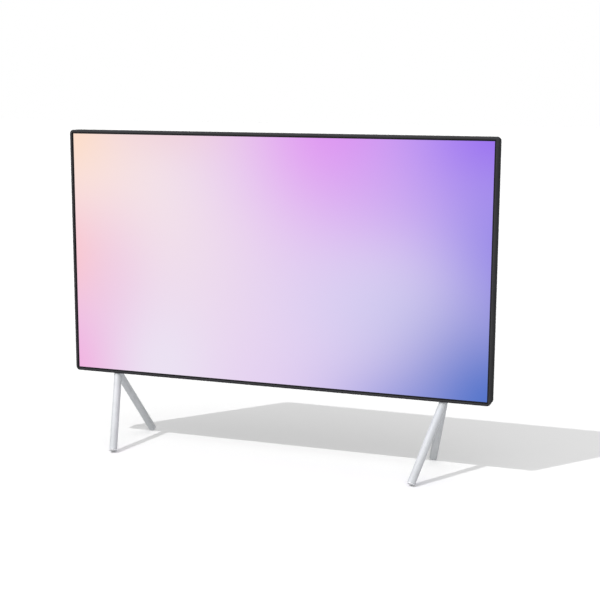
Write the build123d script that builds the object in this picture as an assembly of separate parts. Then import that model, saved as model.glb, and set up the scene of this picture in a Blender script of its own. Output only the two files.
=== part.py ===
from build123d import *
import math
import os

# A flat 16:9 television on two feet, each an inverted V of two round tubes.
# Lengths are in millimetres. X is to the right seen from the front, the front faces -Y and
# +Z is up. The origin is on the floor, in the middle of the feet from left to right and
# from front to back. A depth is measured backwards from the front of the frame, and an
# inset inwards from the outer faces of the frame.

# Picture, frame and stand
screen_width = 1209.6
screen_height = 680.4
border_width = 4.0
lip_width = 6.6
body_depth = 37.7
corner_radius = 11.0
leg_height = 201.0

# Running clearances and the overrun of every cut
fit_gap = 0.3
overrun = 2.0

# Faces round small bars and holes: fasteners, rings and the loudspeakers
fastener_sides = 6
ring_sides = 12
driver_sides = 20

# Feet: tubes, end plugs and the brackets that they are welded to
tube_diameter = 22.0
tube_wall = 1.5
foot_inset = 128.9
foot_lean = 53.5
front_run = 141.9
rear_run = 117.2
glide_flange = 1.5
glide_flat = 0.8
glide_shank = 14.0
glide_clearance = 0.1
bracket_width = 92.0
bracket_depth = 28.0
bracket_block = 6.0
tongue_width = 76.0
tongue_height = 108.0
tongue_thickness = 5.0
tongue_corner = 12.0
gusset_thickness = 4.0
gusset_height = 22.0
gusset_depth = 9.0
gusset_spacing = 58.0
foot_screw_radius = 3.0
foot_screw_head_radius = 5.5
foot_screw_head = 4.0
foot_screw_length = 9.0
foot_screw_spacing = 44.0
foot_screw_low_height = 46.0
foot_screw_high_height = 90.0
foot_screw_access = 6.5

# Frame rails
rail_wall = 1.6
lip_thickness = 2.2
bevel_width = 3.4
bevel_depth = 2.0
rear_bevel = 0.8
ledge_width = 9.0
ledge_thickness = 1.6
key_reach = 34.0
key_thickness = 3.0
key_depth = 9.0

# Picture panel and optical stack
panel_overlap = 2.0
gasket_thickness = 0.5
gasket_width = 1.6
glass_thickness = 0.7
bond_setback = 0.6
middle_frame_inset = 1.9
middle_frame_width = 6.9
middle_frame_thickness = 1.5
middle_frame_skirt = 1.5
film_inset = 6.2
film_thickness = 0.4
guide_thickness = 3.0
reflector_thickness = 0.3
led_sink_thickness = 1.0
led_sink_foot = 1.5
led_sink_height = 56.0
led_board_thickness = 1.0
led_height = 1.0
led_width = 5.6
led_spacing = 36.0
led_gap = 0.3

# Pressed steel chassis
sheet_thickness = 1.2
chassis_wall_height = 10.5
pad_height = 5.0
pad_corner = 8.0
foot_pad_height = 100.0
foot_pad_low = 16.0

# Panel drivers and their flexible strips
source_board_inset = 8.0
source_board_height = 22.0
source_board_thickness = 1.0
source_board_start = 30.0
source_board_length = 530.0
flex_thickness = 0.3
flex_width = 44.0
flex_overlap = 4.0
flex_slot_gap = 0.4
flex_shares = (0.15, 0.38, 0.61, 0.84)

# Circuit boards
board_thickness = 1.6
standoff_height = 6.0
standoff_radius = 3.5
board_screw_radius = 1.5
board_screw_head_radius = 3.0
board_screw_head = 1.8
board_screw_length = 6.0
board_hole_inset = 6.0
hole_clearance = 0.2
main_board_width = 230.0
main_board_height = 105.0
power_board_width = 230.0
power_board_height = 105.0
timing_board_width = 140.0
timing_board_height = 58.0
timing_board_drop = 70.0
radio_board_width = 45.0
radio_board_height = 24.0
radio_board_gap = 55.0
radio_board_low = 70.0
connector_length = 14.0
connector_height = 6.0
connector_width = 12.0

# Heat sinks, chips and power parts
sink_base = 3.0
sink_width = 56.0
sink_gap = 8.0
sink_height = 11.0
fin_thickness = 1.4
fin_spacing = 5.0
chip_height = 1.6
chip_size = 14.0
memory_width = 9.0
memory_length = 12.0
transformer_width = 36.0
transformer_length = 30.0
transformer_height = 12.5
transformer_window = 7.0
capacitor_radius = 6.5
capacitor_length = 30.0
capacitor_lift = 0.3
power_sink_gap = 4.0
power_sink_width = 12.0
transformer_shares = (0.42, 0.68)
capacitor_shares = (0.24, 0.5, 0.76)
power_sink_shares = (0.08, 0.24)

# Sockets, all facing down into the recess
hdmi_width = 15.0
hdmi_height = 6.0
hdmi_depth = 12.0
hdmi_tongue = 1.0
usb_width = 14.5
usb_height = 7.2
usb_depth = 14.0
usb_tongue = 1.8
network_width = 16.0
network_height = 13.5
network_depth = 21.0
network_mouth_width = 11.8
network_mouth_height = 8.2
network_latch_width = 6.2
network_latch_height = 2.0
network_cavity = 13.0
optical_size = 10.0
optical_mouth = 7.0
optical_depth = 14.0
optical_cavity = 9.0
aerial_block = 14.0
aerial_depth = 12.0
aerial_radius = 4.75
aerial_barrel = 9.0
aerial_bore = 3.9
aerial_pin = 1.2
socket_wall = 0.5
socket_gap = 0.4
hdmi_shares = (0.66, 0.78, 0.90)
usb_shares = (0.46, 0.56)
network_share = 0.345
optical_share = 0.235
aerial_share = 0.11
inlet_width = 30.0
inlet_height = 15.0
inlet_depth = 24.0
inlet_mouth_width = 15.6
inlet_mouth_height = 9.0
inlet_cavity = 16.0
inlet_pin_radius = 1.2
inlet_pin_spacing = 8.6
inlet_pin_length = 10.0
inlet_share = 0.26

# Rear cover
cover_thickness = 2.0
cover_gap = 0.4
cover_bevel = 0.6
recess_top = 130.0
recess_height = 92.0
recess_ramp = 26.0
recess_depth = 22.0
recess_width = 252.0
recess_foot_gap = 22.5
recess_flare = 1.5
inlet_recess_width = 96.0
vent_width = 4.0
vent_height = 30.0
vent_spacing = 15.0
top_vent_span = 780.0
top_vent_drop = 52.0
low_vent_span = 200.0
low_vent_rise = 112.0
low_vent_height = 22.0
groove_width = 2.0
groove_depth = 0.6
groove_inset = 26.0
high_groove_drop = 80.0
low_groove_rise = 34.0
grille_slot = 2.2
grille_spacing = 5.0
grille_width = 44.0
cover_rib = 1.6
cover_rib_depth = 10.0
cover_rib_low = 430.0
cover_rib_height = 130.0
cover_rib_shares = (-0.72, -0.44, 0.44, 0.72)
cover_screw_inset = 5.4
cover_screw_radius = 1.45
cover_screw_head_radius = 2.8
cover_screw_head = 1.1
cover_screw_length = 5.0
cover_screw_sink = 1.2
cover_screw_shares = (-0.93, -0.5, 0.0, 0.5, 0.93)
cover_side_screw_shares = (-0.55, 0.0, 0.55)

# Wall mount
wall_mount_x = 300.0
wall_mount_z = 200.0
insert_radius = 7.0
insert_flange_radius = 10.0
insert_flange = 2.0
insert_bore = 3.0
insert_bore_depth = 16.0
insert_sink = 0.6

# Loudspeakers
speaker_width = 62.0
speaker_height = 190.0
speaker_depth = 15.0
speaker_side_gap = 12.0
speaker_low = 20.0
speaker_corner = 8.0
speaker_rise = 112.0
grommet_height = 3.0
grommet_radius = 6.0
grommet_bore = 2.5
grommet_inset = 12.0
driver_radius = 24.0
driver_wall = 1.2
driver_flange = 4.0
driver_flange_thickness = 1.5
driver_depth = 13.0
magnet_radius = 14.0
magnet_height = 3.0
cone_thickness = 0.8
cone_depth = 5.0
cone_neck = 8.0
cone_dome = 2.4
cone_rim = 2.6

# Keys, their board and the sensor
key_radius = 4.5
key_proud = 0.8
key_travel = 0.6
key_flange_radius = 6.0
key_flange = 1.2
key_spacing = 24.0
key_rise = 45.0
key_board_width = 92.0
key_board_height = 18.0
key_board_drop = 6.1
switch_size = 6.0
switch_button_radius = 1.7
switch_button = 0.5
switch_clearance = 0.1
post_radius = 3.0
window_width = 36.0
window_depth = 6.0
window_back = 30.6
window_flange = 1.5
window_post = 4.5
sensor_board_depth = 12.0

# Cables inside
wire_radius = 0.9
wire_spacing = 2.4
wire_count = 4
wire_sag = 16.0
wire_bend = 24.0
wire_share = 0.5
wire_knee_shares = (0.115, 0.23)
ribbon_thickness = 0.4
ribbon_width = 24.0
ribbon_drop = 210.0
ribbon_left = 20.0
ribbon_shares = (-0.3, 0.3)
ribbon_board_share = 0.45

# Outer sizes that follow
body_width = screen_width + 2 * (border_width + lip_width)
body_height = screen_height + 2 * (border_width + lip_width)
body_top = leg_height + body_height
middle_z = leg_height + body_height / 2
tube_radius = tube_diameter / 2
foot_x = body_width / 2 - foot_inset

# Depths of the layers, from the front
cell_front = lip_thickness + gasket_thickness
cell_back = cell_front + 2 * glass_thickness
prism_front = cell_back + middle_frame_thickness
diffuser_front = prism_front + film_thickness
guide_front = diffuser_front + film_thickness
guide_back = guide_front + guide_thickness
sink_front = guide_back + reflector_thickness
chassis_front = sink_front + led_sink_thickness
chassis_back = chassis_front + sheet_thickness
pad_back = chassis_back + pad_height
board_front = chassis_back + standoff_height
board_back = board_front + board_thickness
cover_front = body_depth - cover_thickness
ledge_front = cover_front - ledge_thickness
cell_inset = lip_width - panel_overlap

# Heights and sides that pieces share
recess_top_z = leg_height + recess_top
board_low = recess_top_z + cover_thickness + 2 * fit_gap
board_offset = (foot_x - bracket_width / 2 - recess_foot_gap - cover_thickness
                - recess_width / 2)
main_board_left = board_offset - main_board_width / 2
power_board_left = -board_offset - power_board_width / 2
radio_board_left = (board_offset - recess_width / 2 - cover_thickness - radio_board_gap
                    - radio_board_width)
speaker_x = body_width / 2 - speaker_side_gap - speaker_width / 2
speaker_z = leg_height + speaker_low + speaker_rise
key_z = leg_height + key_rise
key_board_back = cover_front - key_board_drop
window_front = window_back - window_depth


def leg_axis(run):
    """Direction down a right-hand leg whose foot is this far along Y from the apex."""
    return Vector(-foot_lean, run, -leg_height).normalized()


def leg_end(run):
    """How far below the apex, along the leg, its square-cut end lies."""
    axis = leg_axis(run)
    rim_drop = tube_radius * math.sqrt(1 - axis.Z ** 2)
    return (leg_height - rim_drop + glide_flat) / -axis.Z


def leg_tip(run):
    """How far along Y the outermost point of the leg's end lies from the apex."""
    axis = leg_axis(run)
    return leg_end(run) * abs(axis.Y) + tube_radius * math.sqrt(1 - axis.Y ** 2)


# The set stands so that the feet reach as far forwards as backwards from the origin
body_middle_y = (leg_tip(-front_run) - leg_tip(rear_run)) / 2
front_y = body_middle_y - body_depth / 2


# Building blocks

def facing(depth):
    """Plane at a depth, seen from the front: x to the right and y up from the floor."""
    return Plane(origin=(0, front_y + depth, 0), x_dir=(1, 0, 0), z_dir=(0, -1, 0))


def side_plane(x):
    """Plane across the width, with x as the depth and y up from the floor."""
    return Plane(origin=(x, front_y, 0), x_dir=(0, 1, 0), z_dir=(1, 0, 0))


def slab(outline, front, back):
    """An outline of width and height, made solid between two depths."""
    return extrude(facing(front) * outline, amount=front - back)


def block(left, right, front, back, low, high):
    """A square-edged block between two sides, two depths and two heights."""
    middle = Pos((left + right) / 2, front_y + (front + back) / 2, (low + high) / 2)
    return middle * Box(right - left, back - front, high - low)


def rod(x, z, radius, front, back):
    """A round bar that runs straight backwards."""
    return slab(Pos(x, z) * Circle(radius), front, back)


def bar(x, z, radius, sides, front, back):
    """A many-sided bar that runs straight backwards."""
    return slab(Pos(x, z) * RegularPolygon(radius, sides), front, back)


def tapered(front_corners, front, back_corners, back):
    """A flat-faced solid between two outlines with as many corners each."""
    near = [Vector(x, front_y + front, z) for x, z in front_corners]
    far = [Vector(x, front_y + back, z) for x, z in back_corners]
    rims = [near, far] + [[near[index - 1], near[index], far[index], far[index - 1]]
                          for index in range(len(near))]
    return Solid(Shell([Face(Wire.make_polygon(rim)) for rim in rims]))


def corners_round(x, z, radius, sides):
    """Corners of a regular outline about a point."""
    turns = [2 * math.pi * index / sides for index in range(sides)]
    return [(x + radius * math.cos(turn), z + radius * math.sin(turn)) for turn in turns]


def flared_bar(x, z, front_radius, back_radius, sides, front, back):
    """A many-sided bar that widens or narrows from front to back."""
    return tapered(corners_round(x, z, front_radius, sides), front,
                   corners_round(x, z, back_radius, sides), back)


def rounded(inset, radius):
    """Outline of the set, drawn in from its outer faces."""
    shape = RectangleRounded(body_width - 2 * inset, body_height - 2 * inset, radius)
    return Pos(0, middle_z) * shape


def square(inset):
    """Outline of the set with sharp corners, drawn in from its outer faces."""
    return Pos(0, middle_z) * Rectangle(body_width - 2 * inset, body_height - 2 * inset)


def solid_polygon(plane, points, amount):
    """A prism on a plane from a closed list of corners."""
    return extrude(plane * make_face(Polyline(*points, close=True)), amount=amount)


def union(pieces):
    """All the pieces fused into one shape."""
    first, *others = pieces
    return first.fuse(*others) if others else first


def group(pieces):
    """Separate solids kept together as one node."""
    solids = [solid for piece in pieces for solid in piece.solids()]
    return Compound(children=solids)


def save(name, shape):
    """Write one sub-part under its node name."""
    export_step(shape, f"parts/{name}.step")


# Frame: four mitred extrusions with a bevelled lip in front and a ledge for the cover

def frame_ring():
    """The whole frame before it is parted at the mitres."""
    nose = loft([facing(0) * rounded(bevel_width, corner_radius - bevel_width),
                 facing(bevel_depth) * rounded(0, corner_radius)], ruled=True)
    walls = slab(rounded(0, corner_radius), bevel_depth, body_depth - rear_bevel)
    tail = loft([facing(body_depth - rear_bevel) * rounded(0, corner_radius),
                 facing(body_depth) * rounded(rear_bevel, corner_radius - rear_bevel)],
                ruled=True)
    inner = rounded(rail_wall, corner_radius - rail_wall)
    window = slab(square(lip_width), -overrun, lip_thickness + overrun)
    pocket = slab(inner, lip_thickness, ledge_front)
    opening = slab(square(ledge_width), lip_thickness, body_depth)
    seat = slab(inner, cover_front, body_depth + overrun)
    ring = nose + walls + tail - window - pocket - opening - seat
    for x, z in cover_screw_places():
        ring -= bar(x, z, cover_screw_radius, fastener_sides, ledge_front - overrun,
                    cover_front + overrun)
    for side in (-1, 1):
        ring -= bracket_opening(side)
    ring -= block(-window_width / 2 - fit_gap, window_width / 2 + fit_gap,
                  window_front - fit_gap, window_back + fit_gap,
                  leg_height - overrun, leg_height + rail_wall + overrun)
    return ring


def bracket_opening(side):
    """The hole in the lower rail that a foot bracket fills."""
    half = bracket_width / 2 + fit_gap
    middle = side * foot_x
    front = (body_depth - bracket_depth) / 2 - fit_gap
    back = (body_depth + bracket_depth) / 2 + fit_gap
    return block(middle - half, middle + half, front, back,
                 leg_height - overrun, leg_height + rail_wall + overrun)


def mitre_wedge(side):
    """The part of the frame's plane that belongs to one rail, cut at 45 degrees."""
    right = body_width / 2 + overrun
    rise = body_height / 2 + overrun
    waist = right - rise
    corners = {
        "top": [(-right, rise), (right, rise), (waist, 0), (-waist, 0)],
        "bottom": [(-right, -rise), (right, -rise), (waist, 0), (-waist, 0)],
        "left": [(-right, rise), (-right, -rise), (-waist, 0)],
        "right": [(right, rise), (right, -rise), (waist, 0)],
    }[side]
    points = [(x, middle_z + z) for x, z in corners]
    return solid_polygon(facing(-overrun), points, -(body_depth + 2 * overrun))


def corner_key(side, end):
    """An L-shaped joiner that lies in a frame corner, clipped to pass the round corner."""
    clip = corner_radius - rail_wall
    outline = [(clip, 0), (key_reach, 0), (key_reach, key_thickness), (clip, key_thickness),
               (key_thickness, clip), (key_thickness, key_reach), (0, key_reach), (0, clip)]
    corner_x = side * (body_width / 2 - rail_wall)
    corner_z = middle_z + end * (body_height / 2 - rail_wall)
    points = [(corner_x - side * x, corner_z - end * z) for x, z in outline]
    back = ledge_front - fit_gap
    return solid_polygon(facing(back - key_depth), points, -key_depth)


def make_frame():
    ring = frame_ring()
    for side in ("top", "bottom", "left", "right"):
        save(f"frame_{side}_rail", ring & mitre_wedge(side))
    save("corner_keys", group(corner_key(side, end) for side in (-1, 1) for end in (-1, 1)))


# Picture panel: gasket, glass, middle frame and the optical stack

def gasket_strips():
    """Four foam strips between the lip and the glass."""
    outer_x = body_width / 2 - cell_inset
    outer_z = body_height / 2 - cell_inset
    inner_x = outer_x - gasket_width
    inner_z = outer_z - gasket_width
    for end in (-1, 1):
        low, high = sorted((end * inner_z, end * outer_z))
        yield block(-outer_x, outer_x, lip_thickness, cell_front, middle_z + low, middle_z + high)
        yield block(*sorted((end * inner_x, end * outer_x)), lip_thickness, cell_front,
                    middle_z - inner_z, middle_z + inner_z)


def lcd_cell():
    """Two sheets of glass; the front one stops short of the bonding edge at the top."""
    rear = slab(square(cell_inset), cell_front + glass_thickness, cell_back)
    half = body_width / 2 - cell_inset
    front = block(-half, half, cell_front, cell_front + glass_thickness,
                  leg_height + cell_inset, body_top - cell_inset - bond_setback)
    return rear + front


def flex_places():
    """Middle of each flexible strip across the width."""
    return [side * (source_board_start + share * source_board_length)
            for side in (-1, 1) for share in flex_shares]


def flex_slot(x, front, back):
    """A slot along the top that lets one flexible strip pass backwards."""
    half = flex_width / 2 + flex_slot_gap
    return block(x - half, x + half, front, back,
                 body_top - cell_inset - flex_slot_gap,
                 body_top - cell_inset + flex_thickness + flex_slot_gap)


def middle_frame():
    """A moulded ring that carries the glass, with a skirt back to the chassis."""
    radius = corner_radius - middle_frame_inset
    inner = middle_frame_inset + middle_frame_width
    skirt = middle_frame_inset + middle_frame_skirt
    ring = slab(rounded(middle_frame_inset, radius), cell_back, prism_front)
    ring -= slab(square(inner), cell_back - overrun, prism_front + overrun)
    wall = slab(rounded(middle_frame_inset, radius), prism_front, chassis_front)
    wall -= slab(rounded(skirt, corner_radius - skirt), prism_front - overrun, chassis_front + overrun)
    ring += wall
    for x in flex_places():
        ring -= flex_slot(x, cell_back - overrun, prism_front + overrun)
    return ring


def led_places():
    """Middle of each light source along the lower edge."""
    count = int((body_width - 2 * film_inset - 2 * corner_radius) / led_spacing)
    return [(index - (count - 1) / 2) * led_spacing for index in range(count)]


def make_panel():
    save("panel_gasket", group(gasket_strips()))
    save("lcd_cell", lcd_cell())
    save("middle_frame", middle_frame())
    save("prism_sheet", slab(square(film_inset), prism_front, diffuser_front))
    save("diffuser_sheet", slab(square(film_inset), diffuser_front, guide_front))
    save("reflector_sheet", slab(square(film_inset), guide_back, sink_front))

    half = body_width / 2 - film_inset
    sink_low = leg_height + middle_frame_inset + middle_frame_skirt + fit_gap
    led_low = sink_low + led_sink_foot
    led_top = led_low + led_board_thickness
    guide_low = led_top + led_height + led_gap
    save("light_guide", block(-half, half, guide_front, guide_back, guide_low, body_top - film_inset))
    half -= corner_radius
    save("led_bar", block(-half, half, guide_front, guide_back, led_low, led_top))
    margin = guide_thickness / 6
    save("led_packages", group(
        block(x - led_width / 2, x + led_width / 2, guide_front + margin, guide_back - margin,
              led_top, led_top + led_height) for x in led_places()))
    foot = block(-half, half, guide_front - fit_gap, chassis_front, sink_low, led_low)
    plate = block(-half, half, sink_front, chassis_front, sink_low, sink_low + led_sink_height)
    save("led_heat_sink", foot + plate)


# Chassis: a pressed sheet with raised pads, a folded wall and the wall-mount pillars

def pad_places():
    """Middle and size of each raised pad: foot pads, then ribs across the sheet."""
    foot_z = leg_height + foot_pad_low + foot_pad_height / 2
    rib = foot_pad_height / 4
    upper_z = middle_z + body_height / 4
    across = body_width / 2 - foot_inset
    yield from ((side * foot_x, foot_z, bracket_width, foot_pad_height) for side in (-1, 1))
    yield from ((side * across, middle_z, rib, body_height / 3) for side in (-1, 1))
    yield from ((side * across / 2, upper_z, across * 3 / 5, rib) for side in (-1, 1))
    yield 0, middle_z, rib, body_height / 3
    yield 0, upper_z - rib * 2, across / 2, rib


def clipped(x, z, width, height, clip):
    """Corners of a rectangle about a point, each cut off at 45 degrees."""
    half_x, half_z = width / 2, height / 2
    corners = [(half_x, half_z - clip), (half_x - clip, half_z), (clip - half_x, half_z),
               (-half_x, half_z - clip), (-half_x, clip - half_z), (clip - half_x, -half_z),
               (half_x - clip, -half_z), (half_x, clip - half_z)]
    return [(x + across, z + up) for across, up in corners]


def raised_pad(x, z, width, height, front):
    """A pad with slopes of 45 degrees on all sides."""
    spread = 2 * pad_height
    clip = pad_corner + (2 - math.sqrt(2)) * pad_height
    return tapered(clipped(x, z, width + spread, height + spread, clip), front,
                   clipped(x, z, width, height, pad_corner), front + pad_height)


def foot_screw_places(side):
    """Middle of each screw that holds one foot bracket."""
    return [(side * foot_x + column * foot_screw_spacing / 2, leg_height + height)
            for column in (-1, 1) for height in (foot_screw_low_height, foot_screw_high_height)]


def rear_chassis():
    outer = middle_frame_inset
    inner = outer + sheet_thickness
    sheet = slab(rounded(outer, corner_radius - outer), chassis_front, chassis_back)
    wall_back = chassis_back + chassis_wall_height
    wall = slab(rounded(outer, corner_radius - outer), chassis_back, wall_back)
    wall -= slab(rounded(inner, corner_radius - inner), chassis_back - overrun, wall_back + overrun)
    for side in (-1, 1):
        half = bracket_width / 2 + fit_gap
        wall -= block(side * foot_x - half, side * foot_x + half, chassis_back, wall_back + overrun,
                      leg_height, leg_height + bracket_block + fit_gap)
    sheet += wall
    for x, z, width, height in pad_places():
        sheet += raised_pad(x, z, width, height, chassis_back)
    for x, z, width, height in pad_places():
        sheet -= raised_pad(x, z, width, height, chassis_front)
    for side in (-1, 1):
        for x, z in foot_screw_places(side):
            sheet -= bar(x, z, foot_screw_radius + hole_clearance, fastener_sides, chassis_front,
                         pad_back + overrun)
    for x in flex_places():
        sheet -= flex_slot(x, chassis_front - overrun, chassis_back + overrun)
    return sheet


def wall_mount_insert(x, z):
    """A flanged pillar with a blind bore, open towards the back."""
    mouth = body_depth - insert_sink
    pillar = bar(x, z, insert_flange_radius, fastener_sides, chassis_back, chassis_back + insert_flange)
    pillar += bar(x, z, insert_radius, ring_sides, chassis_back + insert_flange, mouth)
    return pillar - rod(x, z, insert_bore, mouth - insert_bore_depth, mouth + overrun)


def wall_mount_places():
    return [(x * wall_mount_x / 2, middle_z + z * wall_mount_z / 2) for x in (-1, 1) for z in (-1, 1)]


def make_chassis():
    save("rear_chassis", rear_chassis())
    save("wall_mount_inserts", group(wall_mount_insert(x, z) for x, z in wall_mount_places()))


# Circuit boards on standoffs, and the screws through them

def board_outline(name):
    """Left, right, low and high edge of each board that stands on the chassis."""
    timing_high = body_top - timing_board_drop
    radio_low = leg_height + radio_board_low
    return {
        "main": (main_board_left, main_board_left + main_board_width,
                 board_low, board_low + main_board_height),
        "power": (power_board_left, power_board_left + power_board_width,
                  board_low, board_low + power_board_height),
        "timing": (-timing_board_width / 2, timing_board_width / 2,
                   timing_high - timing_board_height, timing_high),
        "radio": (radio_board_left, radio_board_left + radio_board_width,
                  radio_low, radio_low + radio_board_height),
    }[name]


def board_holes(name):
    left, right, low, high = board_outline(name)
    return [(x, z) for x in (left + board_hole_inset, right - board_hole_inset)
            for z in (low + board_hole_inset, high - board_hole_inset)]


def bare_board(name):
    """A board with its four fixing holes."""
    left, right, low, high = board_outline(name)
    board = block(left, right, board_front, board_back, low, high)
    for x, z in board_holes(name):
        board -= bar(x, z, board_screw_radius + hole_clearance, fastener_sides, board_front - overrun,
                     board_back + overrun)
    return board


def connector(left, low, width, height):
    """A plug housing soldered to the back of a board."""
    return block(left, left + width, board_back, board_back + connector_height, low, low + height)


def standoff(x, z):
    post = bar(x, z, standoff_radius, fastener_sides, chassis_back, board_front)
    return post - bar(x, z, board_screw_radius + hole_clearance, fastener_sides,
                      chassis_back + fit_gap, board_front + overrun)


def board_screw(x, z):
    shank_front = board_back - board_screw_length
    head = bar(x, z, board_screw_head_radius, fastener_sides, board_back, board_back + board_screw_head)
    return head + bar(x, z, board_screw_radius, fastener_sides, shank_front, board_back)


def key_board_holes():
    reach = key_board_width / 2 - board_hole_inset
    return [(-reach, key_z), (reach, key_z)]


def key_board_screw(x, z):
    """A screw that comes from the front and holds the key board to the cover's posts."""
    front = key_board_back - board_thickness
    head = bar(x, z, board_screw_head_radius, fastener_sides, front - board_screw_head, front)
    return head + bar(x, z, board_screw_radius, fastener_sides, front, front + board_screw_length)


def wire_height():
    """Height of the middle of the loom between the two boards."""
    return board_low + wire_share * power_board_height


def main_board():
    """The picture and socket board, with connectors for the loom and the flat cable."""
    board = bare_board("main")
    left, _, _, high = board_outline("main")
    tall = wire_count * wire_spacing + wire_spacing
    board += connector(left, wire_height() - tall / 2, connector_width, tall)
    ribbon = left + ribbon_board_share * main_board_width
    board += connector(ribbon, high - connector_length, ribbon_width, connector_width)
    return board


def power_board():
    """The mains board, with the connector for the loom at its right edge."""
    board = bare_board("power")
    right = board_outline("power")[1]
    tall = wire_count * wire_spacing + wire_spacing
    return board + connector(right - connector_width, wire_height() - tall / 2, connector_width, tall)


def timing_board():
    """The panel's own controller, with flat-cable connectors above and below."""
    board = bare_board("timing")
    _, _, low, high = board_outline("timing")
    for share in ribbon_shares:
        middle = share * timing_board_width
        board += connector(middle - ribbon_width / 2, high - connector_width, ribbon_width, connector_width)
    return board + connector(ribbon_left - ribbon_width / 2, low, ribbon_width, connector_width)


def heat_sink(left, low, width, height, back):
    """A base with upright fins."""
    front = board_back + chip_height
    base = block(left, left + width, front, front + sink_base, low, low + height)
    count = int((width - fin_thickness) / fin_spacing) + 1
    start = left + (width - (count - 1) * fin_spacing - fin_thickness) / 2
    fins = [block(start + index * fin_spacing, start + index * fin_spacing + fin_thickness,
                  front + sink_base, back, low, low + height) for index in range(count)]
    return union([base] + fins)


def sink_place():
    """Left, low edge and height of the main board's heat sink, between sockets and flat cable."""
    left, right, _, high = board_outline("main")
    sink_low = recess_top_z + network_depth + sink_gap
    return (left + right - sink_width) / 2, sink_low, high - connector_length - sink_gap - sink_low


def main_board_chips():
    """The processor with two memory chips on each side, under and beside the heat sink."""
    sink_left, sink_low, sink_rise = sink_place()
    middle_x, middle_height = sink_left + sink_width / 2, sink_low + sink_rise / 2
    half = chip_size
    yield block(middle_x - half, middle_x + half, board_back, board_back + chip_height,
                middle_height - half, middle_height + half)
    for side in (-1, 1):
        for end in (-1, 1):
            x = middle_x + side * (sink_width / 2 + memory_length)
            z = middle_height + end * memory_length
            yield block(x - memory_width / 2, x + memory_width / 2, board_back, board_back + chip_height,
                        z - memory_length / 2, z + memory_length / 2)


def transformer(middle_x, middle_height):
    """A ferrite core round a wound bobbin."""
    half_x, half_z = transformer_width / 2, transformer_length / 2
    back = board_back + transformer_height
    core = block(middle_x - half_x, middle_x + half_x, board_back, back,
                 middle_height - half_z, middle_height + half_z)
    for end in (-1, 1):
        low, high = sorted((end * (half_z + overrun), end * (half_z - transformer_window)))
        core -= block(middle_x - half_x / 2, middle_x + half_x / 2, board_back - overrun, back + overrun,
                      middle_height + low, middle_height + high)
    bobbin_radius = transformer_height / 2 - capacitor_lift
    length = 2 * half_z - transformer_window / 2
    foot = Pos(middle_x, front_y + board_back + transformer_height / 2, middle_height - length / 2)
    return core + extrude(foot * RegularPolygon(bobbin_radius, ring_sides), amount=length)


def capacitor(x, z):
    """An electrolytic capacitor laid flat on the board."""
    place = side_plane(x - capacitor_length / 2) * Pos(board_back + capacitor_radius + capacitor_lift, z)
    can = extrude(place * RegularPolygon(capacitor_radius, ring_sides), amount=capacitor_length)
    foot = capacitor_radius / 2
    return can + block(x - capacitor_length / 2, x - capacitor_length / 2 + foot,
                       board_back, board_back + capacitor_radius, z - foot, z + foot)


def power_sink(x, low):
    """An upright plate with short fins beside the switching parts, below the capacitors."""
    length = board_outline("power")[3] - 4 * capacitor_radius - power_sink_gap - low
    spine = block(x, x + sink_base, board_back, board_back + transformer_height, low, low + length)
    count = int(length / (2 * fin_spacing))
    fins = [block(x, x + power_sink_width, board_back, board_back + transformer_height,
                  low + index * 2 * fin_spacing, low + index * 2 * fin_spacing + fin_thickness)
            for index in range(count)]
    return union([spine] + fins)


def source_board(side):
    """A long driver board that lies on the chassis below the top rail."""
    left, right = sorted((side * source_board_start, side * (source_board_start + source_board_length)))
    high = body_top - source_board_inset
    return block(left, right, chassis_back, chassis_back + source_board_thickness,
                 high - source_board_height, high)


def panel_flex(x):
    """A strip bonded to the top edge of the glass, led back over the stack to its board."""
    outer = body_top - cell_inset + flex_thickness
    board_face = chassis_back + source_board_thickness
    left, right = x - flex_width / 2, x + flex_width / 2
    run = block(left, right, cell_front + glass_thickness, board_face + flex_thickness,
                outer - flex_thickness, outer)
    tail = block(left, right, board_face, board_face + flex_thickness,
                 body_top - source_board_inset - flex_overlap, outer)
    return run + tail


def timing_ribbon(share):
    """A flat cable from the timing board up to a source board, with one step forwards."""
    high = board_outline("timing")[3]
    upper = chassis_back + source_board_thickness
    lower = board_back + connector_height / 2
    step = lower - upper
    top = body_top - source_board_inset - flex_overlap - fit_gap
    bend = body_top - source_board_inset - source_board_height
    side = [(lower, high), (lower, bend - step), (upper, bend), (upper, top),
            (upper + ribbon_thickness, top), (upper + ribbon_thickness, bend),
            (lower + ribbon_thickness, bend - step), (lower + ribbon_thickness, high)]
    left = share * timing_board_width - ribbon_width / 2
    return solid_polygon(side_plane(left), side, ribbon_width)


def main_ribbon():
    """A flat cable from the timing board down to the main board, folded square twice."""
    low = board_outline("timing")[2]
    left, _, _, board_top = board_outline("main")
    start = ribbon_left - ribbon_width / 2
    end = left + ribbon_board_share * main_board_width
    fold = low - ribbon_drop
    outline = [(start, low), (start + ribbon_width, low), (start + ribbon_width, fold + ribbon_width),
               (end + ribbon_width, fold + ribbon_width), (end + ribbon_width, board_top),
               (end, board_top), (end, fold), (start, fold)]
    front = board_back + connector_height / 2
    return solid_polygon(facing(front), outline, -ribbon_thickness)


def power_wire(index):
    """One wire of the loom, which dips between the two boards."""
    height = wire_height() + (index - (wire_count - 1) / 2) * wire_spacing
    start = power_board_left + power_board_width
    end = main_board_left
    y = front_y + board_back + connector_height / 2
    dip = height - wire_sag
    upper, lower = [share * (end - start) for share in wire_knee_shares]
    points = [(start, y, height), (start + upper, y, height), (start + lower, y, dip),
              (end - lower, y, dip), (end - upper, y, height), (end, y, height)]
    path = FilletPolyline(*points, radius=wire_bend)
    section = Plane(origin=points[0], z_dir=(1, 0, 0)) * RegularPolygon(wire_radius, fastener_sides)
    return sweep(section, path)


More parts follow.
